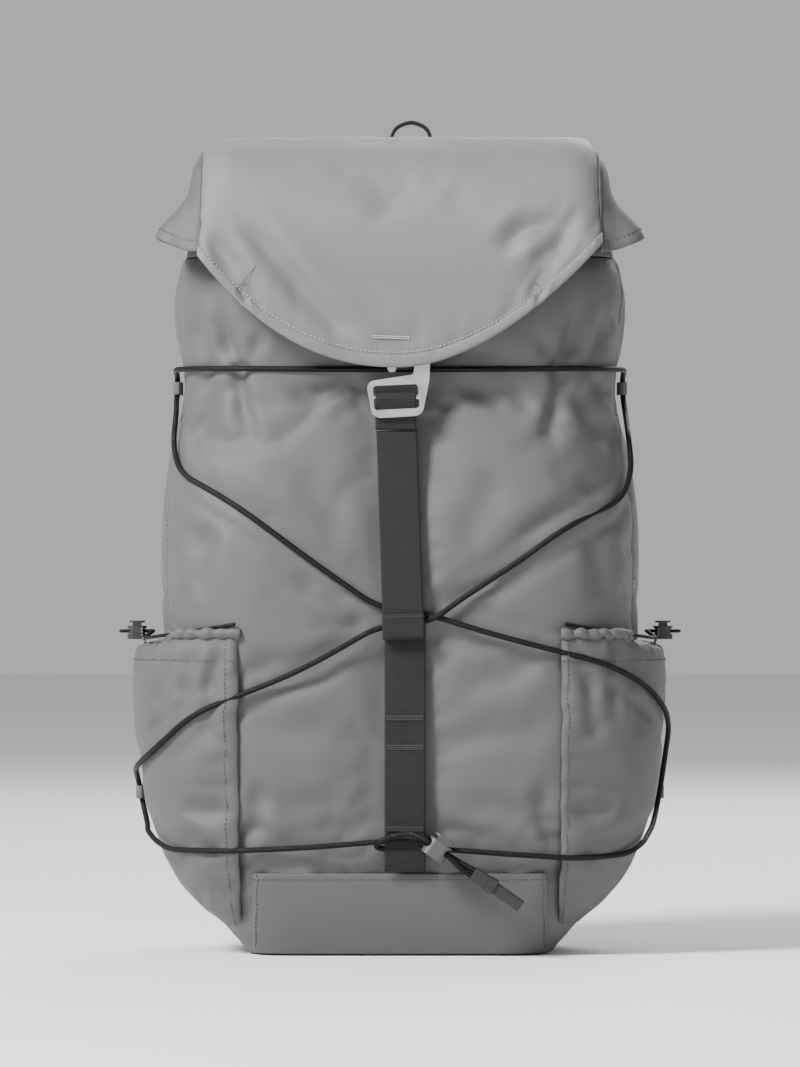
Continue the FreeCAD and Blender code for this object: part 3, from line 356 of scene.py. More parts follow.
class Graph:
    """A short way to write one material's nodes."""

    def __init__(self, name, color, rough, metal=0.0, sheen=0.0, shine=0.5):
        self.mat = bpy.data.materials.new(name)
        self.mat.use_nodes = True
        self.tree = self.mat.node_tree
        self.bsdf = self.tree.nodes["Principled BSDF"]
        self.bsdf.inputs["Roughness"].default_value = rough
        self.bsdf.inputs["Metallic"].default_value = metal
        self.bsdf.inputs["Sheen Weight"].default_value = sheen
        self.bsdf.inputs["Sheen Roughness"].default_value = 0.5
        self.bsdf.inputs["Specular IOR Level"].default_value = shine
        self.color = color

    def node(self, kind, *inputs, **props):
        n = self.tree.nodes.new(kind)
        for key, value in props.items():
            setattr(n, key, value)
        for i, value in enumerate(inputs):
            if value is None:
                continue
            if isinstance(value, bpy.types.NodeSocket):
                self.tree.links.new(value, n.inputs[i])
            else:
                n.inputs[i].default_value = value
        return n.outputs[0]

    def math(self, op, a, b=None, c=None):
        return self.node("ShaderNodeMath", a, b, c, operation=op)

    def where(self):
        return self.tree.nodes.new("ShaderNodeTexCoord").outputs["Object"]

    def noise(self, coord, scale, detail=3.0):
        n = self.tree.nodes.new("ShaderNodeTexNoise")
        n.inputs["Scale"].default_value = scale
        n.inputs["Detail"].default_value = detail
        n.inputs["Roughness"].default_value = 0.55
        self.tree.links.new(coord, n.inputs["Vector"])
        return n.outputs[0]

    def cells(self, coord, scale, randomness):
        n = self.tree.nodes.new("ShaderNodeTexVoronoi")
        n.inputs["Scale"].default_value = scale
        n.inputs["Randomness"].default_value = randomness
        self.tree.links.new(coord, n.inputs["Vector"])
        return n.outputs[0]

    def split(self, coord):
        n = self.tree.nodes.new("ShaderNodeSeparateXYZ")
        self.tree.links.new(coord, n.inputs[0])
        return n.outputs

    def mixed(self, *parts):
        """The sum of values, each times its weight."""
        total = None
        for value, weight in parts:
            part = value if weight == 1 else self.math("MULTIPLY", value, weight)
            total = part if total is None else self.math("ADD", total, part)
        return total

    def remap(self, value, low, high, from_low=0.25, from_high=0.75):
        return self.node("ShaderNodeMapRange", value, from_low, from_high, low, high)

    def spread(self, value, low, high):
        """The base colour, from darker to lighter as value goes from 0 to 1."""
        ramp = self.tree.nodes.new("ShaderNodeValToRGB")
        for stop, k in zip(ramp.color_ramp.elements, (low, high)):
            stop.color = [min(1, c * k) for c in self.color] + [1]
        self.tree.links.new(value, ramp.inputs[0])
        return ramp.outputs[0]

    def finish(self, color, rough=None, height=None, strength=0.3, distance=0.0004):
        self.tree.links.new(color, self.bsdf.inputs["Base Color"])
        if rough is not None:
            self.tree.links.new(rough, self.bsdf.inputs["Roughness"])
        if height is not None:
            bump = self.tree.nodes.new("ShaderNodeBump")
            bump.inputs["Strength"].default_value = strength
            bump.inputs["Distance"].default_value = distance
            self.tree.links.new(height, bump.inputs["Height"])
            self.tree.links.new(bump.outputs[0], self.bsdf.inputs["Normal"])
        return self.mat

    def weave(self, pitch_u, pitch_v):
        """Over-and-under threads as a height from 0 to 1, and the wave across them."""
        source = self.tree.nodes.new("ShaderNodeUVMap")
        source.uv_map = "weave"
        parts = self.split(source.outputs[0])
        u = self.math("SINE", self.math("MULTIPLY", parts[0], 2 * math.pi / pitch_u))
        v = self.math("SINE", self.math("MULTIPLY", parts[1], 2 * math.pi / pitch_v))
        return self.math("MULTIPLY_ADD", self.math("MULTIPLY", u, v), 0.5, 0.5), v


def cloth_material(name, color, rough):
    """Coated plain weave, a little uneven in tone."""
    pitch, contrast, mottle = 0.0011, 0.10, 0.10
    g = Graph(name, color, rough, sheen=0.04)
    threads, _ = g.weave(pitch, pitch)
    where = g.where()
    large, grain = g.noise(where, 22, 4), g.noise(where, 900, 2)
    tone = g.mixed((large, mottle * 5), (threads, contrast * 3), (grain, 0.25))
    tone = g.remap(tone, 0.0, 1.0, 0.15, 0.15 + mottle * 5 + contrast * 3)
    shade = g.spread(tone, 1 - contrast - mottle * 0.5, 1 + contrast * 0.6 + mottle * 0.5)
    gloss = g.remap(large, rough - 0.07, min(1, rough + 0.08))
    return g.finish(shade, gloss, g.mixed((threads, 1), (grain, 0.6)), 0.35)


def webbing_material(name, color, rib=0.0021, warp=0.0016):
    """Ribbed webbing: warp threads over ribs of weft."""
    g = Graph(name, color, 0.62, sheen=0.02, shine=0.2)
    threads, wave = g.weave(warp, rib)
    where = g.where()
    fuzz, large = g.noise(where, 1400, 2), g.noise(where, 60, 3)
    ribs = g.math("MULTIPLY_ADD", wave, 0.5, 0.5)
    height = g.mixed((threads, 0.7), (ribs, 0.5))
    tone = g.mixed((height, 0.5), (fuzz, 0.35), (large, 0.25))
    shade = g.spread(g.remap(tone, 0, 1, 0.25, 0.85), 0.55, 1.7)
    return g.finish(shade, g.remap(fuzz, 0.52, 0.75), height, 0.7, 0.0005)


def mesh_material(name, color):
    """Open spacer mesh over foam."""
    g = Graph(name, color, 0.85, sheen=0.04, shine=0.2)
    where = g.where()
    parts = g.split(where)
    across = g.math("SINE", g.math("MULTIPLY", parts[0], 2300.0))
    down = g.math("SINE", g.math("MULTIPLY", parts[2], 1900.0))
    holes = g.remap(g.math("MULTIPLY", across, down), 0, 1, 0.45, -0.25)
    tone = g.mixed((holes, 0.8), (g.noise(where, 45), 0.35))
    return g.finish(g.spread(g.remap(tone, 0, 1, 0.1, 1.0), 0.4, 1.7), None, holes, 0.6, 0.0006)


def solid_material(name, color, rough, metal=0.0, grain=1500, bump=0.08, spread=0.12, brushed=False):
    """Plastic, metal or thread with a fine grain and slightly worn edges."""
    g = Graph(name, color, rough, metal)
    where = g.where()
    if brushed:
        stretch = g.tree.nodes.new("ShaderNodeMapping")
        stretch.inputs["Scale"].default_value = (0.12, 1, 1)
        g.tree.links.new(where, stretch.inputs["Vector"])
        fine = g.noise(stretch.outputs[0], grain, 3)
    else:
        fine = g.noise(where, grain, 3)
    large = g.noise(where, 120, 4)
    worn = g.tree.nodes.new("ShaderNodeNewGeometry").outputs["Pointiness"]
    edge = g.remap(worn, 0, 1, 0.52, 0.60)
    tone = g.mixed((large, 0.7), (edge, 0.5))
    shade = g.spread(g.remap(tone, 0, 1, 0.1, 1.0), 1 - spread, 1 + 2 * spread)
    gloss = g.remap(g.math("ADD", fine, large), rough - 0.06, rough + 0.1, 0.7, 1.3)
    return g.finish(shade, gloss, fine, bump, 0.0002)


def cord_material(name, color):
    """Braided cover: crossing strands about a millimetre apart."""
    g = Graph(name, color, 0.6, shine=0.2)
    where = g.where()
    bumps = g.remap(g.cells(where, 900, 0.5), 1, 0, 0.0, 0.7)
    tone = g.mixed((bumps, 0.6), (g.noise(where, 200), 0.4))
    return g.finish(g.spread(tone, 0.5, 2.2), g.remap(bumps, 0.5, 0.7, 0, 1), bumps, 0.8, 0.0004)


SHELL = cloth_material("shell_cloth", (0.084, 0.085, 0.087), 0.58)
# The lid cloth is a lighter copy of the shell cloth. Part of that lightness is its own lighter grey, and
# part is painted light: the brightness that light from above gives the lid.
LID_WITH_PAINTED_LIGHT = cloth_material("lid_cloth", (0.150, 0.151, 0.154), 0.56)
PATCH = cloth_material("pocket_cloth", (0.077, 0.078, 0.080), 0.60)
DARK = cloth_material("dark_cloth", (0.022, 0.022, 0.024), 0.7)
LINING = cloth_material("lining", (0.22, 0.225, 0.235), 0.7)
WEBBING = webbing_material("webbing", (0.012, 0.012, 0.0125), 0.0015, 0.0014)
TAB = webbing_material("tab_webbing", (0.09, 0.09, 0.093))
PALE = solid_material("pale_thread", (0.42, 0.42, 0.42), 0.7, bump=0.3, spread=0.2)
THREAD = solid_material("thread", (0.045, 0.045, 0.047), 0.7, bump=0.3, spread=0.3)
CORD = cord_material("cord", (0.0035, 0.0035, 0.0038))
SHRINK = solid_material("shrink_tube", (0.014, 0.014, 0.015), 0.55, bump=0.2)
STIFF = solid_material("stiffener", (0.7, 0.7, 0.7), 0.5)
FOAM = mesh_material("mesh_foam", (0.026, 0.026, 0.028))
METAL = solid_material("hook_metal", (0.62, 0.62, 0.63), 0.33, 1.0, 900, 0.12, 0.08, True)
LOCK = solid_material("lock_plastic", (0.055, 0.055, 0.057), 0.35, 0.0, 900, 0.1)
BLACK = solid_material("black_plastic", (0.016, 0.016, 0.017), 0.42, 0.0, 1200, 0.15, 0.25)

# Bag -----------------------------------------------------------------------------------------

FRONT_SEAM, BACK_SEAM = -0.034, 0.052
COLLAR_FOOT = 0.432
STEP = 0.0046

bag = tree("front_panel", "left_side_panel", "right_side_panel", "back_panel", "base_panel", "collar")
cord_tree = tree("shock_cord")
CORD_TOUCH, CORD_EASE = 0.0034, 0.012  # cloth nearer the cord is held by it, or sinks in less


def bag_rings():
    """Rings of the bag's outside at every 2 degrees, evenly spaced along its surface, and their angles in
    degrees.
    """
    angles = np.radians(np.arange(0, 360, 2.0))
    heights = np.concatenate([np.arange(0.0006, 0.44, 0.002), np.arange(0.44, 0.4795, 0.0007)])
    rings = [ring_hits(bag, z, angles) for z in heights]
    rings = [r for r in rings if not np.isnan(r).any()]
    gaps = [np.linalg.norm(high - low, axis=1).mean() for low, high in zip(rings, rings[1:])]
    run = np.concatenate([[0], np.cumsum(gaps)])
    wanted = np.linspace(0, run[-1], int(run[-1] / STEP))
    out = []
    for s in wanted:
        i = min(int(np.searchsorted(run, s, side="right")) - 1, len(rings) - 2)
        t = (s - run[i]) / (run[i + 1] - run[i])
        out.append(rings[i] * (1 - t) + rings[i + 1] * t)
    return np.degrees(angles), out


def crossing(deg, ring, y, low, high):
    """The angle where the ring passes a depth, between two angles."""
    at = [(d, p[1]) for d, p in zip(deg, ring) if low <= d <= high]
    d, ys = np.array([a for a, _ in at]), np.array([b for _, b in at])
    order = np.argsort(ys)
    return float(np.interp(y, ys[order], d[order]))


def ring_section(deg, ring, start, end, count):
    """Evenly spaced points of a ring between two angles."""
    full_d = np.concatenate([deg - 360, deg, deg + 360])
    full = np.concatenate([ring, ring, ring])
    fine = np.linspace(start, end, 160)
    line = np.stack([np.interp(fine, full_d, full[:, i]) for i in range(3)], 1)
    return resample(line, count)


deg, rings = bag_rings()
n_front = int(0.36 / STEP)
n_side = int(0.088 / STEP)
n_back = int(0.29 / STEP)
rows, angles_kept = [], None
for ring in rings:
    if ring[0][2] < COLLAR_FOOT or angles_kept is None:
        angles_kept = (
            crossing(deg, ring, FRONT_SEAM, 20, 120),
            crossing(deg, ring, BACK_SEAM, 60, 160),
        )
    f, b = angles_kept
    front = ring_section(deg, ring, -f, f, n_front + 1)
    right = ring_section(deg, ring, f, b, n_side + 1)
    back = ring_section(deg, ring, b, 360 - b, n_back + 1)
    left = ring_section(deg, ring, 360 - b, 360 - f, n_side + 1)
    rows.append(np.concatenate([front[:-1], right[:-1], back[:-1], left[:-1]]))
shell = np.array(rows)
heights = shell[:, :, 2].mean(1)
columns = {
    "front": np.arange(0, n_front + 1),
    "right": np.arange(n_front, n_front + n_side + 1),
    "back": np.arange(n_front + n_side, n_front + n_side + n_back + 1),
    "left": np.append(np.arange(n_front + n_side + n_back, shell.shape[1]), 0),
}


def cord_gap(grid):
    """Distance of each grid point from the shock cord's surface."""
    out = np.full(grid.shape[:2], 1.0)
    for r in range(grid.shape[0]):
        for c in range(grid.shape[1]):
            hit = cord_tree.find_nearest(Vector(grid[r, c]), 0.03)
            if hit[0] is not None:
                out[r, c] = hit[3]
    return out


def under_cord(grid, laid, gap, closed=False):
    """Lets the cloth lie no higher than where the cord presses it, near the cord."""
    n = grid_normals(laid, closed)
    proud = np.maximum(((grid - laid) * n).sum(2), 0)
    held = 1 - smooth_step((gap - 0.0048) / 0.007)
    return grid - n * (proud * held)[..., None]


# Folds that the full bag shows on its front: x and z along each, depth and width in mm
FRONT_FOLDS = [
    ([(-114, 410), (-109, 386), (-101, 364), (-97, 338), (-86, 306)], 5.0, 4.6),
    ([(-82, 384), (-92, 366), (-100, 350)], 3.0, 4),
    ([(-128, 404), (-124, 380), (-117, 362), (-124, 338)], 3.6, 4.4),
    ([(-103, 356), (-116, 338), (-126, 318)], 3.2, 4.6),
    ([(-28, 360), (-34, 350), (-54, 343), (-70, 346)], 4.0, 4.2),
    ([(-30, 356), (-24, 346), (-26, 334)], 2.6, 3.8),
    ([(112, 408), (106, 386), (99, 364), (96, 340), (88, 310)], 4.8, 4.6),
    ([(84, 386), (92, 366), (102, 346)], 3.0, 4),
    ([(128, 402), (124, 380), (118, 362), (124, 336)], 3.6, 4.4),
    ([(100, 356), (114, 336), (124, 316)], 3.2, 4.6),
    ([(40, 356), (48, 344), (66, 338)], 3.0, 4.4),
    ([(-132, 300), (-112, 284), (-88, 272), (-66, 262)], 2.6, 6),
    ([(130, 296), (108, 278), (86, 264), (66, 252)], 2.6, 6),
    ([(-116, 268), (-122, 244), (-124, 216)], 3.0, 6),
    ([(116, 262), (122, 240), (124, 216)], 3.0, 6),
    ([(-62, 300), (-46, 276), (-36, 250)], 1.8, 9),
    ([(64, 300), (48, 272), (38, 246)], 1.8, 9),
    ([(-70, 236), (-40, 222), (-16, 216)], 2.6, 4.6),
    ([(-56, 206), (-34, 202), (-16, 206)], 2.4, 4.4),
    ([(66, 232), (40, 222), (18, 216)], 2.6, 4.6),
    ([(62, 188), (36, 196), (18, 204)], 2.4, 4.4),
    ([(-96, 188), (-68, 176), (-34, 176)], 2.2, 8),
    ([(96, 196), (66, 172), (32, 166)], 2.2, 8),
    ([(-98, 150), (-70, 138), (-36, 140)], 2.0, 9),
    ([(98, 150), (74, 136), (34, 142)], 2.0, 9),
    ([(-98, 100), (-66, 92), (-30, 98)], 2.2, 7),
    ([(98, 98), (70, 90), (34, 96)], 2.2, 7),
    ([(-96, 62), (-88, 82), (-86, 112)], 2.6, 5),
    ([(96, 60), (88, 82), (86, 112)], 2.6, 5),
]
gap = cord_gap(shell)
laid = shell.copy()
normals = grid_normals(shell, True)
inside = 2.2 * smooth_step(gap / CORD_EASE) * smooth_step((heights[:, None] - 0.004) / 0.03)
shell = shell - normals * inside[..., None] * MM
seam_columns = [0, n_front, n_front + n_side, n_front + n_side + n_back]
pins = gap < CORD_TOUCH
pins[:, seam_columns] = True
pins[heights < 0.012] = True
pins |= ((heights > COLLAR_FOOT - 0.003) & (heights < COLLAR_FOOT + 0.003))[:, None]
pins[heights > 0.462] = True
pins |= (np.abs(shell[..., 0]) < 0.018) & (shell[..., 1] < 0) & (shell[..., 2] < 0.34)
pins |= (np.abs(shell[..., 0]) < 0.105) & (shell[..., 1] > 0.06) & (shell[..., 2] > 0.06)
shell = swell(shell, pins, 5.0, 5.5, True, 0.03)
for line, depth, width in FRONT_FOLDS:
    shell = fold(shell, line, depth, width, True)
shell = under_cord(shell, laid, gap, True)

# Gathers round the collar's mouth, and seams drawn in along their stitches
across = np.linspace(0, 2 * math.pi, shell.shape[1], endpoint=False)
pleats = np.sin(across * 23 + 0.6 * np.sin(across * 5)) + 0.5 * np.sin(across * 41 + 1)
rise = smooth_step((heights - 0.438) / 0.025)[:, None]
shell += grid_normals(shell, True) * (pleats[None, :] * rise * 1.8 * MM)[..., None]
normals = grid_normals(shell, True)
along = np.arange(len(heights))
for c in seam_columns:
    pucker = 0.9 + 0.45 * np.sin(along * 1.9 + c) + 0.3 * np.sin(along * 0.83)
    shell[:, c] -= normals[:, c] * pucker[:, None] * MM

low_rows = np.arange(len(heights))[heights < COLLAR_FOOT]
high_rows = np.arange(low_rows[-1], len(heights))
for part, node in (("front", "front_panel"), ("right", "right_side_panel"), ("back", "back_panel"),
                   ("left", "left_side_panel")):
    cloth_piece(f"{part}_cloth", shell[np.ix_(low_rows, columns[part])], SHELL, "pack", [node])
collar = np.concatenate([shell[high_rows], shell[high_rows][:, :1]], 1)
cloth_piece("collar_cloth", collar, SHELL, "pack", ["collar"])

# The base: the lowest ring filled towards its middle, a little hollow between its corners
foot = shell[0]
centre = foot.mean(0)
disc = [foot]
for share in np.linspace(0.93, 0.0, 14):
    ring = centre + (foot - centre) * share
    ring[:, 2] = foot[:, 2] * share + 0.0012 * (1 - share)
    disc.append(ring)
disc = np.array(disc)[::-1]
disc = np.concatenate([disc, disc[:, :1]], 1)
cloth_piece("base_cloth", disc, SHELL, "pack", ["base_panel"])

# Stitches on the side panels beside the front seams, above the pockets
SEAM_ALLOWANCE, SEAM_LOW = 4.2, 0.215
runs = []
for part, edge, toward in (("left", -1, -3), ("right", 0, 2)):
    grid = shell[np.ix_(low_rows, columns[part])]
    n = grid_normals(grid)[:, edge]
    way = grid[:, toward] - grid[:, edge]
    way /= np.maximum(np.linalg.norm(way, axis=1, keepdims=True), 1e-9)
    line = grid[:, edge] + way * SEAM_ALLOWANCE * MM
    keep = line[:, 2] > SEAM_LOW
    runs.append((line[keep], n[keep]))
stitches("side_seam_stitches", runs, "pack", lift=0.3)

# Pockets -------------------------------------------------------------------------------------

POCKET_TOP, POCKET_EDGE, RIM_SLOPE = 0.2035, 0.0975, math.tan(math.radians(9))
# Folds of the pocket at +X, as FRONT_FOLDS
POCKET_FOLDS = [
    ([(106, 196), (116, 170), (120, 130)], 3.4, 4.5),
    ([(126, 192), (132, 168), (130, 140)], 3.06, 4.5),
    ([(108, 60), (124, 72), (140, 70)], 3.06, 6),
    ([(104, 92), (118, 88), (136, 94)], 2.72, 6),
    ([(140, 188), (147, 160), (148, 130)], 2.72, 4.5),
]


def rim_z(x):
    """Height of the sloping rim."""
    return POCKET_TOP + 0.001 - RIM_SLOPE * max(0.0, abs(x) - 0.098)


def pocket_grid(side):
    """A pocket's outside from its front seam round the side to its back seam."""
    skin = tree("right_pocket" if side > 0 else "left_pocket")
    angles = np.radians(np.linspace(30, 160, 260)) * side
    cols = int(0.235 / STEP)
    rows = []
    for z in np.arange(0.0015, POCKET_TOP, STEP * 0.9):
        good = found(skin, z, angles)
        good = good[np.abs(good[:, 0]) > POCKET_EDGE]
        rows.append(resample(good, cols) if len(good) > 20 else None)
    rows = [r for r in rows if r is not None and lengths(r)[-1] > 0.12]
    grid = np.array(rows)
    # Rows are levels, and each column ends at the sloping rim
    for c in range(grid.shape[1]):
        column = grid[:, c]
        top = min(column[-1][2], rim_z(column[-1][0]))
        wanted = np.linspace(column[0][2], top, grid.shape[0])
        grid[:, c] = np.stack([np.interp(wanted, column[:, 2], column[:, i]) for i in range(3)], 1)
    return grid if side > 0 else grid[:, ::-1]


for side, name in ((-1, "left"), (1, "right")):
    grid = pocket_grid(side)
    n_rows, n_cols = grid.shape[:2]
    gap = cord_gap(grid)
    laid = grid.copy()
    level = np.linspace(0, 1, n_rows)[:, None]
    inner = 1.8 * smooth_step(gap / CORD_EASE) * smooth_step((grid[..., 2] - 0.006) / 0.03)
    grid = grid - grid_normals(grid) * inner[..., None] * MM
    pin = gap < CORD_TOUCH
    pin[:, [0, -1]] = True
    pin[[0, 1, -1, -2]] = True
    grid = swell(grid, pin, 5.0, 5.0, False, 0.035)
    for line, depth, width in POCKET_FOLDS:
        grid = fold(grid, [(side * x, z) for x, z in line], depth, width)
    grid = under_cord(grid, laid, gap)
    normal = grid_normals(grid)
    run = np.linspace(0, 1, n_cols)[None, :]
    gather = np.sin(run * 150) + 0.6 * np.sin(run * 97 + 1) + 0.4 * np.sin(run * 231)
    off_seams = smooth_step(run * 8) * smooth_step((1 - run) * 8)
    near_rim = smooth_step((level - 0.86) / 0.14) * (0.35 + 0.65 * off_seams)
    grid = grid + normal * (gather * near_rim * 1.1 * MM)[..., None]
    grid[..., 2] += gather * near_rim * 0.7 * MM
    seam = 1.0 + 0.4 * np.sin(np.arange(n_rows) * 1.7)
    for c in (0, -1):
        grid[:, c] -= normal[:, c] * seam[:, None] * 1.2 * MM
    cloth_piece(f"{name}_pocket_cloth", grid, PATCH, "pack", [f"{name}_pocket"], 1.4)
    normal = grid_normals(grid)
    rim = grid[-1] - normal[-1] * 1.2 * MM + np.array((0, 0, 2.2 * MM))
    turn = np.linspace(0, 1, 300)
    swelling = 3.3 + 0.45 * np.sin(turn * 140) + 0.3 * np.sin(turn * 83 + 1)
    sweep(f"{name}_rim_casing", resample(rim, 300), swelling, PATCH, "pack", sides=14)
    column = 4.5 * MM / STEP
    line, n = at_column(grid, column if side > 0 else -1 - column)
    stitches(f"{name}_pocket_stitches", [(line, n), at_row(grid, -1 - 11.5 * MM / STEP)], "pack", lift=0.3)

# Base wrap -----------------------------------------------------------------------------------

WRAP_ROWS, WRAP_COLUMNS = 14, 46
skin = tree("base_wrap")
rows = []
for z in np.linspace(0.0008, 0.0515, WRAP_ROWS):
    rows.append(resample(found(skin, z, np.radians(np.linspace(-58, 58, 240))), WRAP_COLUMNS))
wrap = np.array(rows)
up, across = np.linspace(0, math.pi, WRAP_ROWS), np.linspace(-1, 1, WRAP_COLUMNS)
swollen = np.sin(up)[:, None] * (1 - across[None, :] ** 6)
wrap = wrap + grid_normals(wrap) * (swollen * MM)[..., None]
cloth_piece("base_wrap_cloth", wrap, PATCH, "pack", ["base_wrap"], 1.2)
normal = grid_normals(wrap)
runs = [(wrap[-2], normal[-2]), (wrap[1:, 1], normal[1:, 1]), (wrap[1:, -2], normal[1:, -2])]
stitches("base_wrap_stitches", runs, "pack")

# Lid -----------------------------------------------------------------------------------------

LID_HALF, LID_BACK = 0.124, 0.0755


def flap_edge(x):
    """Height of the flap's edge: a wide rounded V, a little fuller on the viewer's left."""
    if x < 0:
        return 0.3617 + 0.0769 * (abs(x) / 0.1305) ** 2.3
    return 0.3617 + 0.0781 * (x / 0.1257) ** 1.8


skin = tree("lid_panel")
cols = int(0.248 / STEP) + 1
rows_lid = int(0.31 / STEP)
columns_lid = []
for x in np.linspace(-LID_HALF + 0.0004, LID_HALF - 0.0004, cols):
    points = []
    for a in np.radians(np.linspace(72, -98, 340)):
        way = Vector((0, math.sin(a), math.cos(a)))
        hit = skin.ray_cast(Vector((x, 0, 0.44)) + way * 0.4, -way, 0.4)[0]
        if hit is not None and hit.z > 0.35:
            points.append(tuple(hit))
    line = np.array(points)
    line = line[line[:, 1] < LID_BACK]
    line = np.concatenate([[[x, LID_BACK, line[0][2]]], line])
    flap = (line[:, 1] < -0.07) & (line[:, 2] < 0.47)
    low = flap_edge(x)
    keep = ~(flap & (line[:, 2] < low))
    line = line[keep]
    last = line[-1].copy()
    last[2] = min(low, last[2])
    columns_lid.append(resample(np.concatenate([line, [last]]), rows_lid))
lid = np.array(columns_lid).transpose(1, 0, 2)[::-1]  # rows run from the flap's edge to the hinge

LID_FOLDS = [
    ([(-104, 449), (-90, 442), (-74, 426), (-58, 406), (-40, 388), (-22, 378)], 4.6, 6.5),
    ([(-116, 442), (-104, 428), (-92, 416)], 3.0, 5.5),
    ([(-86, 420), (-92, 408), (-101, 398)], 2.4, 2.6),
    ([(58, 432), (76, 446), (92, 448), (108, 442)], 4.0, 6),
    ([(80, 420), (92, 434), (104, 438)], 2.6, 5),
    ([(74, 420), (82, 410), (90, 402)], 2.4, 2.6),
    ([(-14, 382), (0, 376), (16, 384)], 1.4, 6),
    ([(-60, 470), (-20, 474), (24, 470)], 1.0, 12),
]
normal = grid_normals(lid)
lid = lid - normal * 1.6 * MM * smooth_step(np.linspace(0, 12, lid.shape[0]))[:, None, None]
pin = np.zeros(lid.shape[:2], bool)
pin[[0, 1, -1, -2]] = True
pin[:, [0, -1]] = True
lid = swell(lid, pin, 3.0, 3.5, False, 0.015)
for line, depth, width in LID_FOLDS:
    lid = fold(lid, line, depth, width)
normal = grid_normals(lid)
step_up = 0.7 + 0.35 * np.sin(np.arange(lid.shape[0]) * 1.3)
for c in (0, -1):
    lid[:, c] -= normal[:, c] * step_up[:, None] * MM
lid[-1] -= normal[-1] * 0.6 * MM
# The lid cloth and its binding get the lid colour, whose lighter grey is partly painted top light.
cloth_piece("lid_cloth", lid, LID_WITH_PAINTED_LIGHT, "lid", ["lid_panel"], 1.4)

# Hinge strip: fabric between the yoke's top and the lid's back edge
within = np.abs(lid[-1][:, 0]) < 0.112
span, inner = lid[-1][within], lid[-4][within] - (0, 0, 0.0022)
rows = [span * (1, 0, 0) + (0, y, z) for y, z in ((0.0787, 0.4920), (0.0787, 0.4960), (0.0786, 0.4990))]
for share in (0.25, 0.5, 0.75, 1.0):
    rows.append(rows[2] * (1 - share) + (span - (0, 0, 0.0012)) * share)
rows += [span * 0.4 + inner * 0.6 - (0, 0, 0.0006), inner]
strip = cloth_piece("hinge_strip", np.array(rows), PATCH, None, thick=1.0)
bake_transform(strip)

# Binding folded over the flap's edge, and the stitch line above it
normal = grid_normals(lid)
up_line = lid[1] - lid[0]
up_line /= np.linalg.norm(up_line, axis=1, keepdims=True)
profile = [(6.6, 0.25), (6.2, 0.85), (3.4, 1.15), (0.6, 1.15), (-0.8, 0.5), (-1.0, -0.7), (-0.4, -1.9),
           (0.8, -2.3), (3.4, -2.3), (6.2, -2.1), (6.6, -1.6)]
at = np.linspace(0, 1, 220)
fine = resample(lid[0], len(at))
run = lengths(lid[0]) / lengths(lid[0])[-1]
n_fine = np.stack([np.interp(at, run, normal[0][:, i]) for i in range(3)], 1)
u_fine = np.stack([np.interp(at, run, up_line[:, i]) for i in range(3)], 1)
band = []
for up, out in profile:
    ruffle = 0.12 * np.sin(at * 160 + up) * (out > 0)
    band.append(fine + u_fine * up * MM + n_fine * (out + ruffle)[:, None] * MM)
band = np.array(band)[::-1]
obj = mesh_object("lid_binding_cloth", band.reshape(-1, 3), grid_faces(*band.shape[:2]), LID_WITH_PAINTED_LIGHT, "lid",
                  ["lid_binding"], grid_uv(band))
obj.modifiers.new("Soft", "SUBSURF").levels = 1
stitches("lid_stitches", [at_row(lid, 0.0086 / STEP)], "lid", 2.9, 1.9, mat=PALE, lift=0.35)


def lid_depth(gap):
    """Y of the lid where a grid of distances from a place is least."""
    return float(lid[..., 1].ravel()[np.argmin(gap)])


darts = []
for line in ([(-84, 427), (-101, 406)], [(72, 423), (88, 407)]):
    run = []
    for t in np.linspace(0, 1, 14):
        x, z = ((1 - t) * np.array(line[0]) + t * np.array(line[1])) * MM
        behind = lid[..., 1] > -0.05
        run.append((x, lid_depth(np.hypot(lid[..., 0] - x, lid[..., 2] - z) + behind), z))
    run = np.array(run)
    run[:, 1] = np.convolve(np.pad(run[:, 1], 2, "edge"), np.ones(5) / 5, "valid")
    darts.append((run, np.tile((0, -1.0, 0.1), (14, 1))))
stitches("lid_dart_stitches", darts, "lid", 1.9, 1.6, 0.3, lift=0.3)

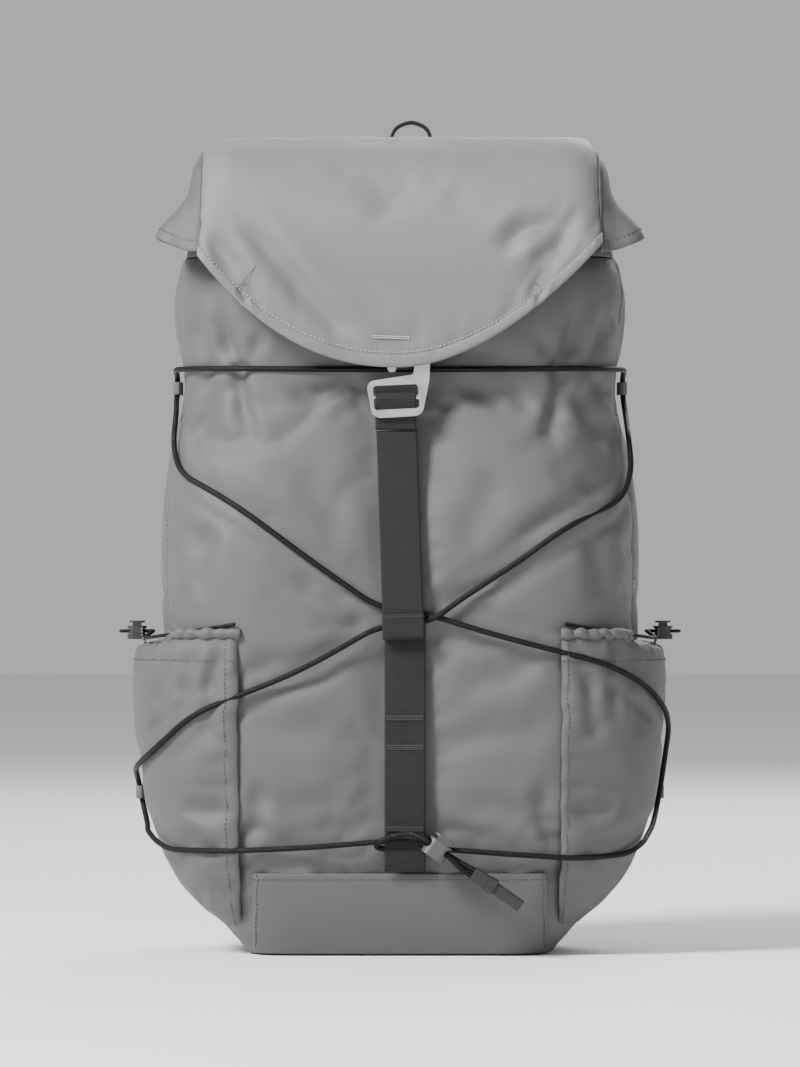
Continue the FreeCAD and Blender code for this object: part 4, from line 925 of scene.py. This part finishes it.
# Side gussets, which flare into small ears at their low front corners
GUSSET_COLUMNS = 34
for side, name in ((-1, "left"), (1, "right")):
    skin = tree(f"{name}_lid_gusset")
    angles = np.radians(np.linspace(40, 125, 240)) * side
    rows = []
    edge = lid[:, -1 if side > 0 else 0]
    top = int(np.argmax(edge[:, 2] > 0.4895))
    for z in np.arange(0.4375, 0.4885, STEP * 0.9):
        good = found(skin, z, angles)
        seam = np.array([np.interp(z, edge[:top, 2], edge[:top, i]) for i in range(3)])
        good = good[np.linalg.norm(good - seam, axis=1) > 0.004]
        rows.append(resample(np.concatenate([[seam], good]), GUSSET_COLUMNS))
    rows.append(resample(edge[top:], GUSSET_COLUMNS))
    grid = np.array(rows)
    if side < 0:
        grid = grid[:, ::-1]
    share = np.linspace(0, 1, GUSSET_COLUMNS)[None, :]
    if side < 0:
        share = 1 - share
    low = 1 - smooth_step((grid[..., 2] - 0.437) / 0.036)
    ear = low * smooth_step(share / 0.10) * np.exp(-(((share - 0.15) / 0.13) ** 2))
    grid[..., 0] += side * ear * 7.5 * MM
    grid[..., 1] -= ear * 3.5 * MM
    grid[..., 2] += (ear * 3 + low * 4 * smooth_step((share - 0.3) / 0.4)) * MM
    waist = np.exp(-(((grid[..., 2] - 0.468) / 0.013) ** 2))
    edge_x = grid[:, 0 if side > 0 else -1, 0][:, None]
    grid[..., 0] -= (grid[..., 0] - edge_x) * waist * 0.30
    grid[..., 2] -= low * 6 * MM * (1 - smooth_step(share / 0.16))
    valley = np.exp(-(((share - 0.05) / 0.035) ** 2))
    grid -= grid_normals(grid) * (valley * (0.5 + low) * 2.2 * MM)[..., None]
    grid[..., 0] += side * low * np.sin(share * 9) * 1.2 * MM * smooth_step(share / 0.1)
    cloth_piece(f"{name}_gusset_cloth", grid, PATCH, "lid", [f"{name}_lid_gusset"], 1.3)
    stitches(f"{name}_gusset_stitches", [at_row(grid, 1.5)], "lid", 2.9, 1.9, lift=0.3)
    seam_col = 0 if side > 0 else -1
    line = np.concatenate([grid[:, seam_col], grid[-1][1:] if side > 0 else grid[-1][::-1][1:]])
    sweep(f"{name}_gusset_piping", resample(line, 120), 1.0, PATCH, "lid")

# Webbing, thread and the hook's straps -----------------------------------------------------

LEAN = math.radians(1.9)


def leaned(x, y, z, pivot=(2.1, 200)):
    """A point in mm after the closure strap's slight turn to the viewer's left."""
    dx, dz = x - pivot[0], z - pivot[1]
    c, s = math.cos(LEAN), math.sin(LEAN)
    return pivot[0] + dx * c - dz * s, y, pivot[1] + dx * s + dz * c


def webbed(points, middle, lean=False):
    """Middle line of a front strap from its (y, z) points."""
    return [leaned(middle, y, z) if lean else (middle, y, z) for y, z in points]


daisy = [(-87.6, 53), (-91.1, 60.5), (-91.7, 80), (-92.7, 104), (-95.4, 150), (-96.4, 204)]
webbing("daisy_webbing", webbed(daisy, 3.1), 25, 1.5, "pack", replaces=["daisy_strap"])
inner_ply = [(-99.15, 196), (-99.15, 215), (-96.95, 250), (-94.1, 322.6)]
webbing("closure_webbing_back", webbed(inner_ply, 2.4, True), 24.6, 1.4, "pack", replaces=["closure_strap"])
outer_ply = [(-100.7, 195), (-100.7, 215), (-98.5, 250), (-95.7, 322.6)]
webbing("closure_webbing_front", webbed(outer_ply, 2.1, True), 25, 1.5, "pack")
webbing("closure_hem", webbed([(-102.2, 195), (-102.2, 210.5)], 2.1, True), 25.6, 1.5, "pack")
hook_turn = [(-95.7, 322.7), (-95.7, 333), (-95.9, 339), (-96.0, 343.6), (-98.2, 345.6), (-100.2, 343.4),
             (-98.2, 336), (-97.0, 330), (-96.6, 322.7)]
webbing("hook_fold", webbed(hook_turn, -2.5), 25, 1.3, "hook", replaces=["closure_fold"], wave=0)
loop_turn = [(-100.6, 384), (-101.7, 373), (-101.8, 362), (-98.4, 359.9), (-95.0, 362), (-95.0, 373),
             (-98.5, 380)]
webbing("flap_loop", webbed(loop_turn, 2.6), 9, 1.1, "lid", replaces=["lid_loop"], wave=0)
for i, (z, y) in enumerate(((147, -96.0), (129, -94.9), (79, -92.6))):
    runs = []
    for row in (-1.1, 0.0, 1.1):
        line = np.array([(3.1 + end, y - 0.15, z + row) for end in (-11.4, 11.4)]) * MM
        runs.append((line, np.array([(0, -1.0, 0.05)] * 2)))
    bar = stitches(f"bartack_{i + 1}", runs, "pack", 1.25, 1.5, 0.42)
    if i == 0:
        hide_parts("bartacks")
hem = np.array([leaned(x, -103.1, 208.6) for x in (-9.4, 13.4)]) * MM
stitches("hem_stitches", [(hem, np.array([(0, -1.0, 0)] * 2))], "pack", 2.4, 1.7)
line = []
for x, z in ((-17, 379.6), (6, 378.8)):
    gap = np.abs(lid[..., 0] - x * MM) + np.abs(lid[..., 2] - z * MM)
    line.append((x * MM, lid_depth(gap) - 0.0004, z * MM))
line = np.array(line)
runs = [(line + np.array([0, 0, k * 0.0011]), np.array([(0, -1.0, 0.1)] * 2)) for k in (-0.5, 0.5)]
stitches("flap_bartack", runs, "lid", 1.3, 1.5, 0.45, mat=PALE)

arch = [(-7.2, 485.0), (-7.2, 506), (-3.4, 517.5), (7, 521.6), (17.4, 517.5), (21.2, 506), (21.2, 485.0)]
webbing("handle_webbing", [(x, 91, z) for x, z in arch], 15, 2.0, "handle", replaces=["grab_handle"],
        across=(0, 1, 0), wave=0)

# Loops in the side seams that the shock cord turns through
for side, name in ((-1, "left"), (1, "right")):
    for label in ("upper", "lower"):
        node = f"{name}_{label}_loop"
        low, high = (np.array(v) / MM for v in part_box(node))
        mid = (low + high) / 2
        thick = (high[0] - low[0]) / 2 - 1.1
        turn = [(-thick, high[1] - 5), (-thick, low[1] + 2), (0, low[1] + 0.4), (thick, low[1] + 2),
                (thick, high[1] - 5), (0, high[1] - 1)]
        loop = [(mid[0] + dx, y, mid[2]) for dx, y in turn]
        webbing(f"{name}_{label}_cord_loop", loop, high[2] - low[2], 1.0, "pack", replaces=[node],
                across=(0, 0, 1), wave=0, mat=TAB)
    # A grey tab on the rim holds the pocket's cord lock
    tab = [(side * 157.5, -12, 190), (side * 160.3, -12, 196), (side * 160.5, -12, 201.4)]
    webbing(f"{name}_rim_tab", tab, 12, 1.1, "pack", across=(0, 1, 0), wave=0, mat=TAB)

# Free ends of the shock cord ----------------------------------------------------------------

LOCK_AT, TAIL_SLOPE = np.array((23.0, -100.4, 67.6)), math.radians(35)
WAY = np.array((math.cos(TAIL_SLOPE), 0, -math.sin(TAIL_SLOPE)))
RISE = np.array((math.sin(TAIL_SLOPE), 0, math.cos(TAIL_SLOPE)))


def along_lock(distance, depth, rise):
    """A point in metres from its distance down the tails, its depth and its height across them, in mm."""
    return (LOCK_AT + WAY * distance + RISE * rise + np.array((0, depth, 0))) * MM


def spline(name, points, radius):
    """A round cord on one open spline."""
    curve = bpy.data.curves.new(name, "CURVE")
    curve.dimensions = "3D"
    curve.bevel_depth = radius
    curve.bevel_resolution = 5
    curve.resolution_u = 10
    s = curve.splines.new("NURBS")
    s.points.add(len(points) - 1)
    for p, co in zip(s.points, points):
        p.co = (*co, 1)
    s.order_u = 3
    s.use_endpoint_u = True
    curve.use_fill_caps = True
    curve.materials.append(CORD)
    return linked(name, curve)


for i, (depth, spread) in enumerate(((-1.95, -1.9), (1.95, 1.9))):
    points = []
    for distance, share in ((3, 0), (10, 0.1), (18, 0.62), (26, 1), (35, 1)):
        sag = np.array((0, 0, -0.9 * MM)) if distance == 18 else 0
        turn = math.radians(90 * share)
        points.append(along_lock(distance, depth * math.cos(turn), spread * math.sin(turn)) + sag)
    tail = spline(f"cord_tail_{i + 1}", points, 1.7 * MM)
    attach(tail, "pack")
    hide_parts(f"tail_{i + 1}")

# Back and harness ---------------------------------------------------------------------------

low, high = (np.array(v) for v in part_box("back_pad"))
PAD_CHANNEL, PAD_GAP = 0.020, 0.0008
POD_HEIGHTS = ((low[2], 0.180), (0.196, 0.294), (0.310, high[2]))
POD_FOOT, POD_ROLL, POD_CORNER = 0.0781, 0.013, 0.024


def pod(name, x0, x1, z0, z1, round_low, round_high, side):
    """One foam pod of the back pad: a crowned face whose edges roll down to the base layer."""
    nx, nz = int((x1 - x0) / 0.004), int((z1 - z0) / 0.004)
    xs, zs = np.meshgrid(np.linspace(0, 1, nx), np.linspace(0, 1, nz))
    x, z = x0 + xs * (x1 - x0), z0 + zs * (z1 - z0)
    inset = np.minimum(np.minimum(xs, 1 - xs) * (x1 - x0), np.minimum(zs, 1 - zs) * (z1 - z0))
    outer = x1 if side > 0 else x0
    for flag, end, sign in ((round_low, z0, 1), (round_high, z1, -1)):
        if not flag:
            continue
        cx, cz = outer - side * POD_CORNER, end + sign * POD_CORNER
        beyond = ((x - cx) * side > 0) & ((z - cz) * sign < 0)
        d = np.maximum(np.hypot(x - cx, z - cz), 1e-9)
        scale = np.where(beyond, np.minimum(1, np.maximum(abs(x - cx), abs(z - cz)) / d), 1)
        x, z = np.where(beyond, cx + (x - cx) * scale, x), np.where(beyond, cz + (z - cz) * scale, z)
    roll = np.sqrt(np.clip(1 - (1 - np.clip(inset / POD_ROLL, 0, 1)) ** 2, 0, 1))
    crown = POD_FOOT + (high[1] - POD_FOOT + 0.0012) * roll
    y = crown + 0.0004 * np.sin(x * 160) * np.sin(z * 130)
    grid = np.stack([x, y, z], -1)[:, ::-1]
    return cloth_piece(name, grid, FOAM, "pack", thick=1.4)


for i, side in enumerate((-1, 1)):
    x0, x1 = (PAD_CHANNEL, high[0]) if side > 0 else (low[0], -PAD_CHANNEL)
    for k, (z0, z1) in enumerate(POD_HEIGHTS):
        piece = pod(f"back_pod_{3 * i + k + 1}", x0 + PAD_GAP, x1 - PAD_GAP, z0 + PAD_GAP, z1 - PAD_GAP,
                    k == 0, k == 2, side)
        if i == k == 0:
            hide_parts("back_pad")


def round_corners(x, z, half_x, half_z, corner):
    """Draws the corners of a flat grid round its middle in to a radius."""
    dx, dz = np.abs(x) - (half_x - corner), np.abs(z) - (half_z - corner)
    both = (dx > 0) & (dz > 0)
    pull = np.where(both, np.maximum(dx, dz) / np.maximum(np.hypot(dx, dz), 1e-9), 1)
    x = np.where(both, np.sign(x) * (half_x - corner + dx * pull), x)
    z = np.where(both, np.sign(z) * (half_z - corner + dz * pull), z)
    return x, z


middle, half = (low[2] + high[2]) / 2, (high[2] - low[2]) / 2
across, up = np.linspace(low[0] + 0.001, high[0] - 0.001, 60), np.linspace(0.001 - half, half - 0.001, 90)
xs, zs = np.meshgrid(across, up)
xs, zs = round_corners(xs, zs, high[0], half, 0.026)
layer = np.stack([xs, np.full_like(xs, 0.0785), zs + middle], -1)[:, ::-1]
cloth_piece("back_pad_base", layer, FOAM, "pack", thick=1.2)

# Yoke with its handle anchor, and the wings at the low corners
YOKE_FACE, YOKE_TOP = 0.0793, 0.5
for node in ("yoke", "left_wing", "right_wing"):
    (x0, y0, z0), (x1, y1, z1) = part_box(node)
    if node == "yoke":
        y1, z1 = YOKE_FACE, YOKE_TOP
    nx, nz = max(12, int((x1 - x0) / 0.005)), max(8, int((z1 - z0) / 0.005))
    a, b = np.meshgrid(np.linspace(-1, 1, nx), np.linspace(-1, 1, nz))
    hx, hz = (x1 - x0) / 2, (z1 - z0) / 2
    px, pz = round_corners(a * hx, b * hz, hx, hz, min(0.011, (z1 - z0) / 3))
    py = y1 - 0.0005 * np.abs(a) ** 8 + 0.0003 * np.sin(px * 300)
    grid = np.stack([px + (x0 + x1) / 2, py, pz + (z0 + z1) / 2], -1)[:, ::-1]
    cloth_piece(f"{node}_cloth", grid, PATCH, "pack", [node], max(1.2, (y1 - y0) / MM - 0.2))
    n = grid_normals(grid)
    edges = [np.s_[1, 1:-1], np.s_[-2, 1:-1], np.s_[1:-1, 1], np.s_[1:-1, -2]]
    stitches(f"{node}_stitches", [(grid[edge], n[edge]) for edge in edges], "pack")
for name, y in (("handle_anchor", 84.5), ("handle_anchor_out", 92.5)):
    bar = [(x, y, 483.2) for x in (-15, 7, 29)]
    webbing(name, bar, 12, 3.4, "pack", across=(0, 1, 0), wave=0)

# Shoulder straps: middle lines as (y, z) in mm, then the pad's half width and half thickness
STRAP_X = 64
STRAP_FACE = [(79.4, 472), (100, 478), (122, 462), (131, 425), (131, 285), (124, 225), (108, 160)]
FACING = [(83, 474.6), (100, 479), (123, 463), (132, 425), (132, 285), (125, 225), (110.4, 166)]
RAIL = [(133, 302), (134.7, 307), (134.7, 312), (134.7, 398), (134.7, 403), (133, 408)]
BUCKLE_LOOP = [(119.0, 163), (117.6, 150), (117.4, 140.5), (114.5, 137.5), (111.6, 140.5), (111.2, 150),
               (109.8, 158)]
PAD_HALF, PAD_DEPTH, PAD_SIDES = 0.031, 0.0064, 40


def strap_ring(distance, left):
    """Offsets across and out of a strap pad's section at a distance from its top, left to its end."""
    end = min(1, left / 0.03)
    half = PAD_HALF * (0.45 + 0.55 * math.sqrt(max(0, 1 - (1 - end) ** 2)))
    half *= 1 - 0.10 * math.exp(-(((distance - 0.30) / 0.09) ** 2))
    ring = []
    for k in range(PAD_SIDES):
        c, s = math.cos(2 * math.pi * k / PAD_SIDES), math.sin(2 * math.pi * k / PAD_SIDES)
        w = half * math.copysign(abs(c) ** 0.55, c)
        t = PAD_DEPTH * math.copysign(abs(s) ** 0.75, s)
        t *= 1 - 0.55 * abs(w / PAD_HALF) ** 5
        t *= 1 + 0.03 * math.sin(distance * 210 + k)
        ring.append((w, t))
    return ring


for side, name in ((-1, "left"), (1, "right")):
    x = side * STRAP_X
    face = path_points([(x, y, z) for y, z in STRAP_FACE], 4.0)
    n = len(face)
    tangent = np.gradient(face, axis=0)
    tangent /= np.linalg.norm(tangent, axis=1, keepdims=True)
    out = np.cross(np.array([1.0, 0, 0]), tangent)
    out *= np.sign(out[n // 2][1])
    core = face - out * 0.006
    verts, uvs = [], []
    run = lengths(face)
    for i in range(n):
        for w, t in strap_ring(run[i], run[-1] - run[i]):
            verts.append(core[i] + np.array([w, 0, 0]) + out[i] * t)
            uvs.append((w, run[i]))
    faces = grid_faces(n, PAD_SIDES, True) + end_caps(n, PAD_SIDES)
    obj = mesh_object(f"{name}_shoulder_pad", verts, faces, FOAM, "pack",
                      [f"{name}_shoulder_strap"], uvs)
    soften(obj)
    ring = np.array(verts).reshape(n, PAD_SIDES, 3)
    for label, k in (("outer", 0), ("inner", PAD_SIDES // 2)):
        edge = resample(ring[1:-1, k], 160)
        sweep(f"{name}_{label}_strap_binding", edge, 1.9, DARK, "pack")
    runs = [(ring[2:-2, k] + out[2:-2] * 0.0003, out[2:-2]) for k in (3, PAD_SIDES // 2 - 3)]
    stitches(f"{name}_strap_stitches", runs, "pack")
    webbing(f"{name}_facing_webbing", webbed(FACING, x), 25, 1.4, "pack", replaces=[f"{name}_strap_facing"])
    rail = np.array(webbed(RAIL, x)) * MM
    sweep(f"{name}_rail", resample(rail, 60), 1.45, BLACK, "pack")
    webbing(f"{name}_buckle_loop", webbed(BUCKLE_LOOP, x), 25, 1.1, "pack", wave=0)
    low_end, high_end = (side * 92, 81.2, 42), (x, 111.4, 124.2)
    slack = tuple((a + b) / 2 + c for a, b, c in zip(low_end, high_end, (0, -1.2, -1.0)))
    webbing(f"{name}_lower_web", [low_end, slack, high_end], 25, 1.4, "pack",
            replaces=[f"{name}_lower_webbing"])
    low, high = (np.array(v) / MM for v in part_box(f"sternum_strap_{name}"))
    x, y, z = (low + high) / 2
    points = [(low[0], y, z), (x, y + 0.3, z - 0.4), (high[0], y, z)]
    webbing(f"sternum_webbing_{name}", points, high[2] - low[2] - 0.6, 0.9, f"sternum_{name}",
            replaces=[f"sternum_strap_{name}"], across=(0, 0, 1), wave=0)

# Materials of the CAD nodes that keep their shape --------------------------------------------

KEPT = {
    CORD: ("shock_cord", "left_pocket_elastic", "right_pocket_elastic", "collar_drawcord"),
    METAL: ("hook",),
    LOCK: ("front_lock_body", "front_lock_plunger"),
    BLACK: ("left_lock_body", "left_lock_plunger", "right_lock_body", "right_lock_plunger",
            "collar_lock_body", "collar_lock_plunger", "left_ladder_lock", "right_ladder_lock",
            "left_slider", "right_slider", "sternum_socket", "sternum_plug"),
    SHRINK: ("cord_end",),
    STIFF: ("frame_sheet",),
    LINING: ("inner_sleeve",),
}
for mat, names in KEPT.items():
    for name in names:
        mesh = NODES[name].data
        mesh.materials.clear()
        mesh.materials.append(mat)

# Floor, light and camera ---------------------------------------------------------------------

FLOOR = solid_material("floor", (0.82, 0.82, 0.82), 0.8, grain=60, bump=0.02, spread=0.01)
FLOOR_HALF = 9.0
corners = [(x * FLOOR_HALF, y * FLOOR_HALF, 0) for x, y in ((-1, -1), (1, -1), (1, 1), (-1, 1))]
mesh_object("floor", corners, [(0, 1, 2, 3)], FLOOR, None)


def area_light(name, at, target, size, power):
    data = bpy.data.lights.new(name, "AREA")
    data.shape, data.size, data.energy = "SQUARE", size, power
    obj = linked(name, data)
    obj.location = at
    obj.rotation_euler = (Vector(target) - Vector(at)).to_track_quat("-Z", "Y").to_euler()


area_light("key", (-1.7, -1.5, 2.2), (0, 0, 0.25), 0.8, 215)
area_light("fill", (2.0, -2.2, 0.8), (0, 0, 0.25), 1.6, 6)
area_light("back", (0.8, 2.4, 1.9), (0, 0, 0.3), 1.4, 60)
world = bpy.data.worlds.new("studio")
bpy.context.scene.world = world
world.use_nodes = True
background = world.node_tree.nodes["Background"]
background.inputs[0].default_value = (1, 1, 1, 1)
background.inputs[1].default_value = 0.5

# The camera is level and far off, and its picture is VIEW_HEIGHT high at the bag's front
VIEW_HEIGHT, DISTANCE, FRONT, SENSOR = 0.651, 4.5, -0.1, 24
camera_data = bpy.data.cameras.new("camera")
camera = linked("camera", camera_data)
camera_data.sensor_fit = "VERTICAL"
camera_data.sensor_height = SENSOR
camera_data.lens = SENSOR * DISTANCE / VIEW_HEIGHT
camera.location = (0, FRONT - DISTANCE, 0.2596)
camera.rotation_euler = (math.radians(90), 0, 0)
bpy.context.scene.camera = camera
